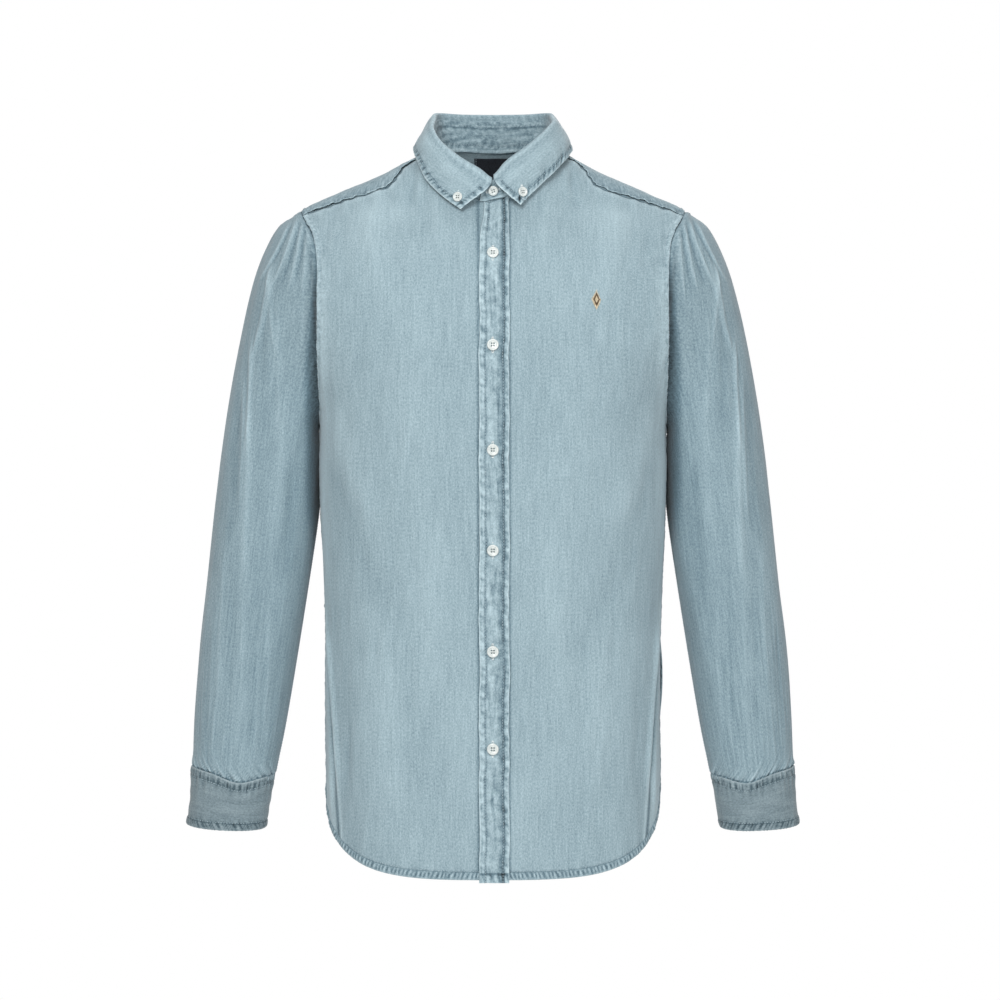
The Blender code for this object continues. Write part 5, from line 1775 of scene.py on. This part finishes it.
def make_sleeve_placket(hand, side, materials, thread):
    """The strip along the opening above a cuff."""
    form = sleeve_form(hand)
    reach = (OPENING_ANGLE - SLEEVE_PLACKET_HALF_ANGLE, OPENING_ANGLE + SLEEVE_PLACKET_HALF_ANGLE)
    down = (SLEEVE_PLACKET_START, len(SLEEVE) - 1.0)
    us = paced_across(form, 11.0, reach, middle=0.0016, close=0.0011, reach=0.006)
    vs = paced_along(form, OPENING_ANGLE, down, middle=0.0022, close=0.0012)
    cloth = Cloth(form, us, vs, from_wrist(hand))
    cloth.lift += SLEEVE_PLACKET_LIFT
    for edge in ENDS + ("first_v",):
        cloth.sew(edge, 0.003, rise=0.0004, pucker=0.0004, wave=0.008, seed=171, reach=0.004)
    cloth.tuck("last_v", 0.002, 0.003, 0.01)
    cloth.wear -= 0.5
    piece = make_shell(f"cloth_sleeve_placket_{side}", cloth, PLACKET_WALL, materials["denim"])
    for edge in ENDS + ("first_v",):
        thread.row(cloth.line(edge, 0.0022))
    return piece


def cuff_lap(angle):
    """The end of the cuff laps over its start."""
    past = angle - (OPENING_ANGLE + math.pi * 2)
    lap = CUFF_WALL + LAYER_GAP
    return lap * ease((past - CUFF_LAP_START) / (CUFF_LAP_END - CUFF_LAP_START))


# Doubled cloth at a cuff's top, lower edge and ends.
CUFF_TOP_SEW = 0.0085
CUFF_EDGE_SEW = 0.0078
CUFF_END_SEW = 0.005


def make_cuff(hand, side, materials, thread):
    """A cuff, lapped over its own start."""
    seed = 181 if hand < 0 else 191
    form = ring_form(CUFF, hand)
    start = OPENING_ANGLE - CUFF_OVERLAP / 2
    end = start + math.pi * 2 + CUFF_OVERLAP
    us = paced_across(form, 1.0, (start, end), middle=0.0015, close=0.0011)
    vs = paced_along(form, 1.5, (0.0, len(CUFF) - 1.0), middle=0.0018, close=0.0011, reach=0.012)
    cloth = Cloth(form, us, vs, from_ring)
    cloth.lift += cuff_lap(np.meshgrid(us, vs, indexing="ij")[0])
    cloth.lift -= 0.0004
    cloth.base[..., 2] -= wrist_dip(cloth.base, hand) * (1 - ease(cloth.t / WRIST_DIP_RUN))
    cloth.sew("first_v", CUFF_TOP_SEW, rise=0.0003, pucker=0.0009, wave=0.0044, seed=seed, slant=0.1,
              reach=0.01, piping=3.4, stitch=0.7, mark=1.5, beyond=1.2, dashes=3.2)
    cloth.sew("last_v", CUFF_EDGE_SEW, rise=0.0006, pucker=0.0008, wave=0.0046, seed=seed + 2, slant=0.6,
              reach=0.006, piping=1.2, stitch=2.2, mark=1.6, dashes=3.0)
    for edge in ENDS:
        cloth.sew(edge, CUFF_END_SEW, rise=0.0004, pucker=0.0004, wave=0.007, seed=seed + 4)
    cloth.fold(0.0005 * swell(cloth.s * 0.35, cloth.t, 0.014, seed + 6), 1.4)
    cloth.across, cloth.along = cloth.t, cloth.s
    piece = make_shell(f"cloth_cuff_{side}", cloth, CUFF_WALL, materials["cuff"])
    thread.row(cloth.line("first_v", CUFF_TOP_SEW + STITCH_PAST, 0.005, 0.005))
    thread.row(cloth.line("last_v", CUFF_EDGE_SEW + STITCH_PAST, 0.005, 0.005))
    thread.row(cloth.line("last_u", CUFF_END_SEW + STITCH_PAST, 0.006, 0.009))
    return cloth, piece


# ---- the label
def label_form(across, down):
    """The bare label's place on the inner side of the yoke."""
    x = mix(-LABEL_WIDTH / 2, LABEL_WIDTH / 2, across)
    return torso_point(x, mix(LABEL_TOP, LABEL_BOTTOM, down), 1.0)


def make_label(materials):
    """The bare label and the stitches at its two ends."""
    cloth = Cloth(label_form, np.linspace(0, 1, 42), np.linspace(0, 1, 30), torso_normal, smooth=True)
    cloth.lift -= WALL + LABEL_WALL
    cloth.lift -= 0.0003 * swell(cloth.s, cloth.t, 0.018, 201)
    piece = make_shell("label_tape", cloth, LABEL_WALL, materials["label"])
    stitches = Threads("label_stitches")
    for edge in ENDS:
        points, directions = cloth.line(edge, 0.0018)
        stitches.row((points - directions * 0.0008, -directions), 0.0022, 0.0016)
    return piece, stitches.add(materials["thread"])


# ---- the emblem
# A plain lozenge in three layers of satin stitch.
EMBLEM_MIDDLE = (0.1075, -0.154)
EMBLEM_HEIGHT = 0.0205
EMBLEM_HALF_WIDTH = 0.006
EMBLEM_ROWS = 30
Layer = namedtuple("Layer", "name size raised finish")
EMBLEM_LAYERS = table(Layer,
    ("emblem_tan", 1.0, 0.0001, "gold"),
    ("emblem_brown", 0.66, 0.0004, "brown"),
    ("emblem_middle", 0.32, 0.0007, "gold"),
)


def emblem_threads(name, cloth, size, raised):
    """One layer of the lozenge, seated on the cloth of the chest."""
    share = np.linspace(-1, 1, int(EMBLEM_ROWS * size))
    x = np.full(share.shape, EMBLEM_MIDDLE[0])
    z = EMBLEM_MIDDLE[1] + share * EMBLEM_HEIGHT / 2 * size
    points = torso_point(x, z, -1.0)
    facings = torso_normal(points)
    seated = [cloth.seat(point, normal) for point, normal in zip(points, facings)]
    level = np.mean([np.dot(after - before, normal) for after, before, normal
                     in zip(seated, points, facings)])
    width = EMBLEM_HALF_WIDTH * 2 * size * (1 - np.abs(share)) + 0.0008
    ahead = np.broadcast_to(np.array((1.0, 0.0, 0.0)), points.shape)
    threads = Threads(name)
    pitch = EMBLEM_HEIGHT / EMBLEM_ROWS
    threads.beads(points + facings * (level + raised), facings, ahead, width, pitch * 1.25, 0.0007)
    return threads


# ---- the buttons
# The section of a button, in shares of its radius and thickness.
Turning = namedtuple("Turning", "reach level")
DISH_LEVEL = 0.7
BUTTON_PROFILE = table(Turning,
    (0.0, 0.0),
    (0.7, 0.0),
    (0.88, 0.08),
    (0.97, 0.24),
    (1.0, 0.46),
    (0.99, 0.66),
    (0.95, 0.84),
    (0.88, 0.96),
    (0.8, 1.0),
    (0.72, 0.96),
    (0.65, 0.84),
    (0.58, 0.74),
    (0.48, DISH_LEVEL),
    (0.0, DISH_LEVEL),
)
BUTTON_LIFT = 0.0006
HOLE_REACH = 0.29
HOLE_RADIUS = 0.155
HOLE_TURNS = (45, 135, 225, 315)


def spin_button(diameter, material):
    """A turned button with a raised rim, a dish and four holes."""
    mesh = bmesh.new()
    radius = diameter / 2
    verts = [mesh.verts.new((row.reach * radius, 0.0, row.level * BUTTON_THICKNESS))
             for row in BUTTON_PROFILE]
    edges = [mesh.edges.new(pair) for pair in zip(verts, verts[1:])]
    bmesh.ops.spin(mesh, geom=verts + edges, cent=(0, 0, 0), axis=(0, 0, 1), angle=math.pi * 2,
                   steps=40, use_merge=True)
    bmesh.ops.remove_doubles(mesh, verts=mesh.verts[:], dist=1e-6)
    bmesh.ops.recalc_face_normals(mesh, faces=mesh.faces[:])
    whole = bpy.data.meshes.new("button_whole")
    mesh.to_mesh(whole)
    mesh.free()
    drills = bmesh.new()
    for turn in HOLE_TURNS:
        angle = math.radians(turn)
        place = Vector((math.cos(angle), math.sin(angle), 0.0)) * HOLE_REACH * radius
        place.z = BUTTON_THICKNESS / 2
        bmesh.ops.create_cone(drills, cap_ends=True, segments=16, radius1=HOLE_RADIUS * radius,
                              radius2=HOLE_RADIUS * radius, depth=BUTTON_THICKNESS * 2,
                              matrix=Matrix.Translation(place))
    holes = bpy.data.meshes.new("button_holes")
    drills.to_mesh(holes)
    drills.free()
    block = bpy.data.objects.new("button_block", whole)
    cutter = bpy.data.objects.new("button_cutter", holes)
    for item in (block, cutter):
        put_in_scene(item)
    cut = block.modifiers.new("holes", "BOOLEAN")
    cut.object = cutter
    cut.operation = "DIFFERENCE"
    cut.solver = "EXACT"
    done = bpy.data.meshes.new_from_object(block.evaluated_get(bpy.context.evaluated_depsgraph_get()))
    for item in (block, cutter):
        bpy.data.objects.remove(item)
    done.materials.clear()
    done.materials.append(material)
    done.shade_smooth()
    done.set_sharp_from_angle(angle=math.radians(42))
    return done


# Stitches round a buttonhole.
HOLE_STITCHES = 64


def make_button(name, mesh, diameter, cloth, point, normal, lengthwise, threads):
    """A button on its cloth, with its thread and its buttonhole."""
    normal = np.asarray(normal)
    seated = cloth.seat(np.asarray(point), normal)
    across = unit(np.cross(lengthwise, normal))
    along = unit(np.cross(normal, across))
    holes, sewing = threads
    button = bpy.data.objects.new(name, mesh)
    put_in_scene(button)
    turn = Matrix((across, along, normal)).transposed().to_4x4()
    button.matrix_world = Matrix.Translation(seated + normal * BUTTON_LIFT) @ turn
    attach(button, "root")
    radius = diameter / 2
    spread = HOLE_REACH * math.sin(math.radians(45)) * radius
    dish = seated + normal * (BUTTON_LIFT + BUTTON_THICKNESS * DISH_LEVEL)
    bars = np.array([dish + across * spread * side for side in (-1.0, 1.0)])
    sewing.beads(bars, np.tile(normal, (2, 1)), np.tile(along, (2, 1)), spread * 1.5, 0.00034, 0.0004)
    half_length, half_width = radius + 0.002, 0.0011
    turns = np.linspace(0, 2 * math.pi, HOLE_STITCHES, endpoint=False)
    straight = half_length - half_width
    reach = np.clip(np.sin(turns) * 1.35, -1, 1) * straight
    x = half_width * np.cos(turns)
    y = reach + half_width * np.sin(turns)
    places = seated + x[:, None] * across + y[:, None] * along + normal * 0.0002
    at_end = np.sin(turns) * (np.abs(reach) >= straight)
    outward = unit(np.cos(turns)[:, None] * across + at_end[:, None] * along + 1e-6 * across)
    holes.beads(places, np.tile(normal, (HOLE_STITCHES, 1)), outward, 0.0013, 0.0006, 0.0006)
    return button


def place_on(form, u, v):
    """A point of a form, with the direction square to it and the one across it."""
    first, second = np.array([[u]]), np.array([[v]])
    step = 0.0004
    along_u = form(first + step, second) - form(first - step, second)
    along_v = form(first, second + step) - form(first, second - step)
    return form(first, second)[0, 0], unit(np.cross(along_u, along_v))[0, 0], unit(along_u)[0, 0]


def make_buttons(materials, placket, stand, leaf, cuffs):
    """Every button, with its buttonhole and thread."""
    large = spin_button(BUTTON_DIAMETER, materials["pearl"])
    small = spin_button(SMALL_BUTTON_DIAMETER, materials["pearl"])
    threads = (Threads("buttonhole_stitches"), Threads("button_threads"))
    up = np.array((0.0, 0.0, 1.0))
    for index, height in enumerate(FRONT_BUTTON_HEIGHTS):
        point = torso_point(0.0, height, -1.0)
        normal = torso_normal(point)
        made = make_button(f"pearl_front_{index + 1}", large, BUTTON_DIAMETER, placket, point, normal, up,
                           threads)
        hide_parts(f"button_front_{index + 1}")
    point, normal, along = place_on(stand_form, math.pi, 0.5)
    made = make_button("pearl_stand", small, SMALL_BUTTON_DIAMETER, stand, point, -normal, along, threads)
    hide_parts("button_stand")
    for hand, side in SIDE_NAMES:
        bearing = hand * (math.pi - POINT_BUTTON_ANGLE)
        point, normal, _ = place_on(leaf_form, bearing, POINT_BUTTON_SHARE)
        made = make_button(f"pearl_point_{side}", small, SMALL_BUTTON_DIAMETER, leaf, point, normal, up,
                           threads)
        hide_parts(f"button_point_{side}")
        point, normal, along = place_on(ring_form(CUFF, hand), OPENING_ANGLE + math.pi * 2, 1.0)
        made = make_button(f"pearl_cuff_{side}", small, SMALL_BUTTON_DIAMETER, cuffs[side], point,
                           normal * hand, along, threads)
        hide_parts(f"button_cuff_{side}")
    for item in threads:
        item.add(materials["pale_thread"])


# ---- the garment
# The flat size and area that each piece is cut to.
Cut = namedtuple("Cut", "flat area")
CUT = {
    "front": Cut((0.27, 0.79), 0.17),
    "back": Cut((0.54, 0.74), 0.34),
    "yoke": Cut((0.46, 0.19), 0.06),
    "placket": Cut((0.031, 0.74), 0.0225),
    "stand": Cut((0.44, 0.036), 0.0125),
    "leaf": Cut((0.49, 0.085), 0.029),
    "sleeve": Cut((0.45, 0.64), 0.2),
    "sleeve_placket": Cut((0.025, 0.152), 0.0038),
    "cuff": Cut((0.26, 0.062), 0.0155),
    "label": Cut((0.041, 0.034), 0.00139),
}


def declare(piece, node, cut):
    """Hide the solid that a piece stands for."""
    flat, area = cut
    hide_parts(node)


def make_shirt(materials):
    """Every piece of the shirt."""
    thread = Threads("seam_stitches")
    fronts = make_fronts(materials, thread)
    back_piece, back_hem = make_back(materials, thread)
    yoke_piece = make_yoke(materials, thread)
    placket, placket_piece = make_placket(materials, thread)
    stand, stand_piece = make_stand(materials, thread)
    leaf, leaf_piece = make_leaf(materials, thread)
    cuffs = {}
    for hand, side in SIDE_NAMES:
        _, front_piece, front_hem = fronts[side]
        declare(front_piece, f"front_{side}", CUT["front"])
        declare(make_sleeve(hand, side, materials, thread), f"sleeve_{side}", CUT["sleeve"])
        strip_piece = make_sleeve_placket(hand, side, materials, thread)
        declare(strip_piece, f"sleeve_placket_{side}", CUT["sleeve_placket"])
        cuffs[side], cuff_piece = make_cuff(hand, side, materials, thread)
        declare(cuff_piece, f"cuff_{side}", CUT["cuff"])
    declare(back_piece, "back", CUT["back"])
    declare(yoke_piece, "yoke", CUT["yoke"])
    declare(placket_piece, "placket", CUT["placket"])
    declare(stand_piece, "collar_stand", CUT["stand"])
    declare(leaf_piece, "collar_leaf", CUT["leaf"])
    label_piece, label_threads = make_label(materials)
    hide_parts("neck_label")
    thread.add(materials["thread"])
    make_buttons(materials, placket, stand, leaf, cuffs)
    chest = fronts["left"][0]
    for layer in EMBLEM_LAYERS:
        emblem_threads(layer.name, chest, layer.size, layer.raised).add(materials[layer.finish])


# ---- the setting
CAMERA_PLACE = (0.007455, -4.3, -0.362)
METRES_PER_PIXEL = 0.001065
PICTURE_SIZE = 1000
SENSOR = 36.0
FLOOR_HEIGHT = -1.4
FLOOR_RADIUS = 3.8
FLOOR_THICKNESS = 0.02
LAMP_AIM = Vector((0.0, 0.0, -0.35))
Lamp = namedtuple("Lamp", "name place size power")
LAMPS = table(Lamp,
    ("key", (-0.7, -3.6, 1.5), 1.8, 92.0),
    ("fill", (1.5, -3.5, 0.3), 1.8, 34.0),
    ("top", (0.0, 0.4, 2.8), 2.2, 26.0),
    ("behind", (0.5, 3.4, 1.0), 2.2, 60.0),
)


def set_camera():
    """The camera that sees the shirt as the photo does."""
    camera = bpy.data.cameras.new("camera")
    camera.sensor_width = SENSOR
    camera.lens = SENSOR * -CAMERA_PLACE[1] / (PICTURE_SIZE * METRES_PER_PIXEL)
    holder = bpy.data.objects.new("camera", camera)
    holder.location = CAMERA_PLACE
    holder.rotation_euler = (math.pi / 2, 0.0, 0.0)
    put_in_scene(holder)
    bpy.context.scene.camera = holder


def set_lamps():
    """Round soft lamps, aimed at the middle of the shirt."""
    for row in LAMPS:
        light = bpy.data.lights.new(row.name, "AREA")
        light.shape = "DISK"
        light.size = row.size
        light.energy = row.power
        item = bpy.data.objects.new(row.name, light)
        item.location = row.place
        item.rotation_euler = (LAMP_AIM - Vector(row.place)).to_track_quat("-Z", "Y").to_euler()
        put_in_scene(item)


def set_surroundings():
    """White surroundings, which light less than they show."""
    world = bpy.data.worlds.new("studio")
    world.use_nodes = True
    bpy.context.scene.world = world
    tree = world.node_tree
    sky = tree.nodes["Background"]
    seen = add_node(tree, "ShaderNodeLightPath").outputs["Is Camera Ray"]
    strength = add_node(tree, "ShaderNodeMapRange", Value=seen, To_Min=0.34, To_Max=1.0)
    sky.inputs["Color"].default_value = PLAIN_WHITE
    tree.links.new(strength.outputs[0], sky.inputs["Strength"])


def lay_floor():
    """A round pale floor, well below the shirt."""
    ground = bmesh.new()
    bmesh.ops.create_cone(ground, cap_ends=True, segments=96, radius1=FLOOR_RADIUS, radius2=FLOOR_RADIUS,
                          depth=FLOOR_THICKNESS)
    mesh = bpy.data.meshes.new("floor")
    ground.to_mesh(mesh)
    ground.free()
    mesh.materials.append(mottled_material("floor_pale", (0.8, 0.8, 0.8), (0.84, 0.84, 0.84), scale=3.0,
                                           roughness=0.8))
    floor = bpy.data.objects.new("floor", mesh)
    floor.location = (0.0, 0.0, FLOOR_HEIGHT - FLOOR_THICKNESS / 2)
    put_in_scene(floor)


def make_setting():
    """Camera, lamps, surroundings and floor."""
    set_camera()
    bpy.context.scene.view_settings.view_transform = "Standard"
    bpy.context.scene.view_settings.look = "None"
    set_lamps()
    set_surroundings()
    lay_floor()


make_shirt(make_materials())
make_setting()
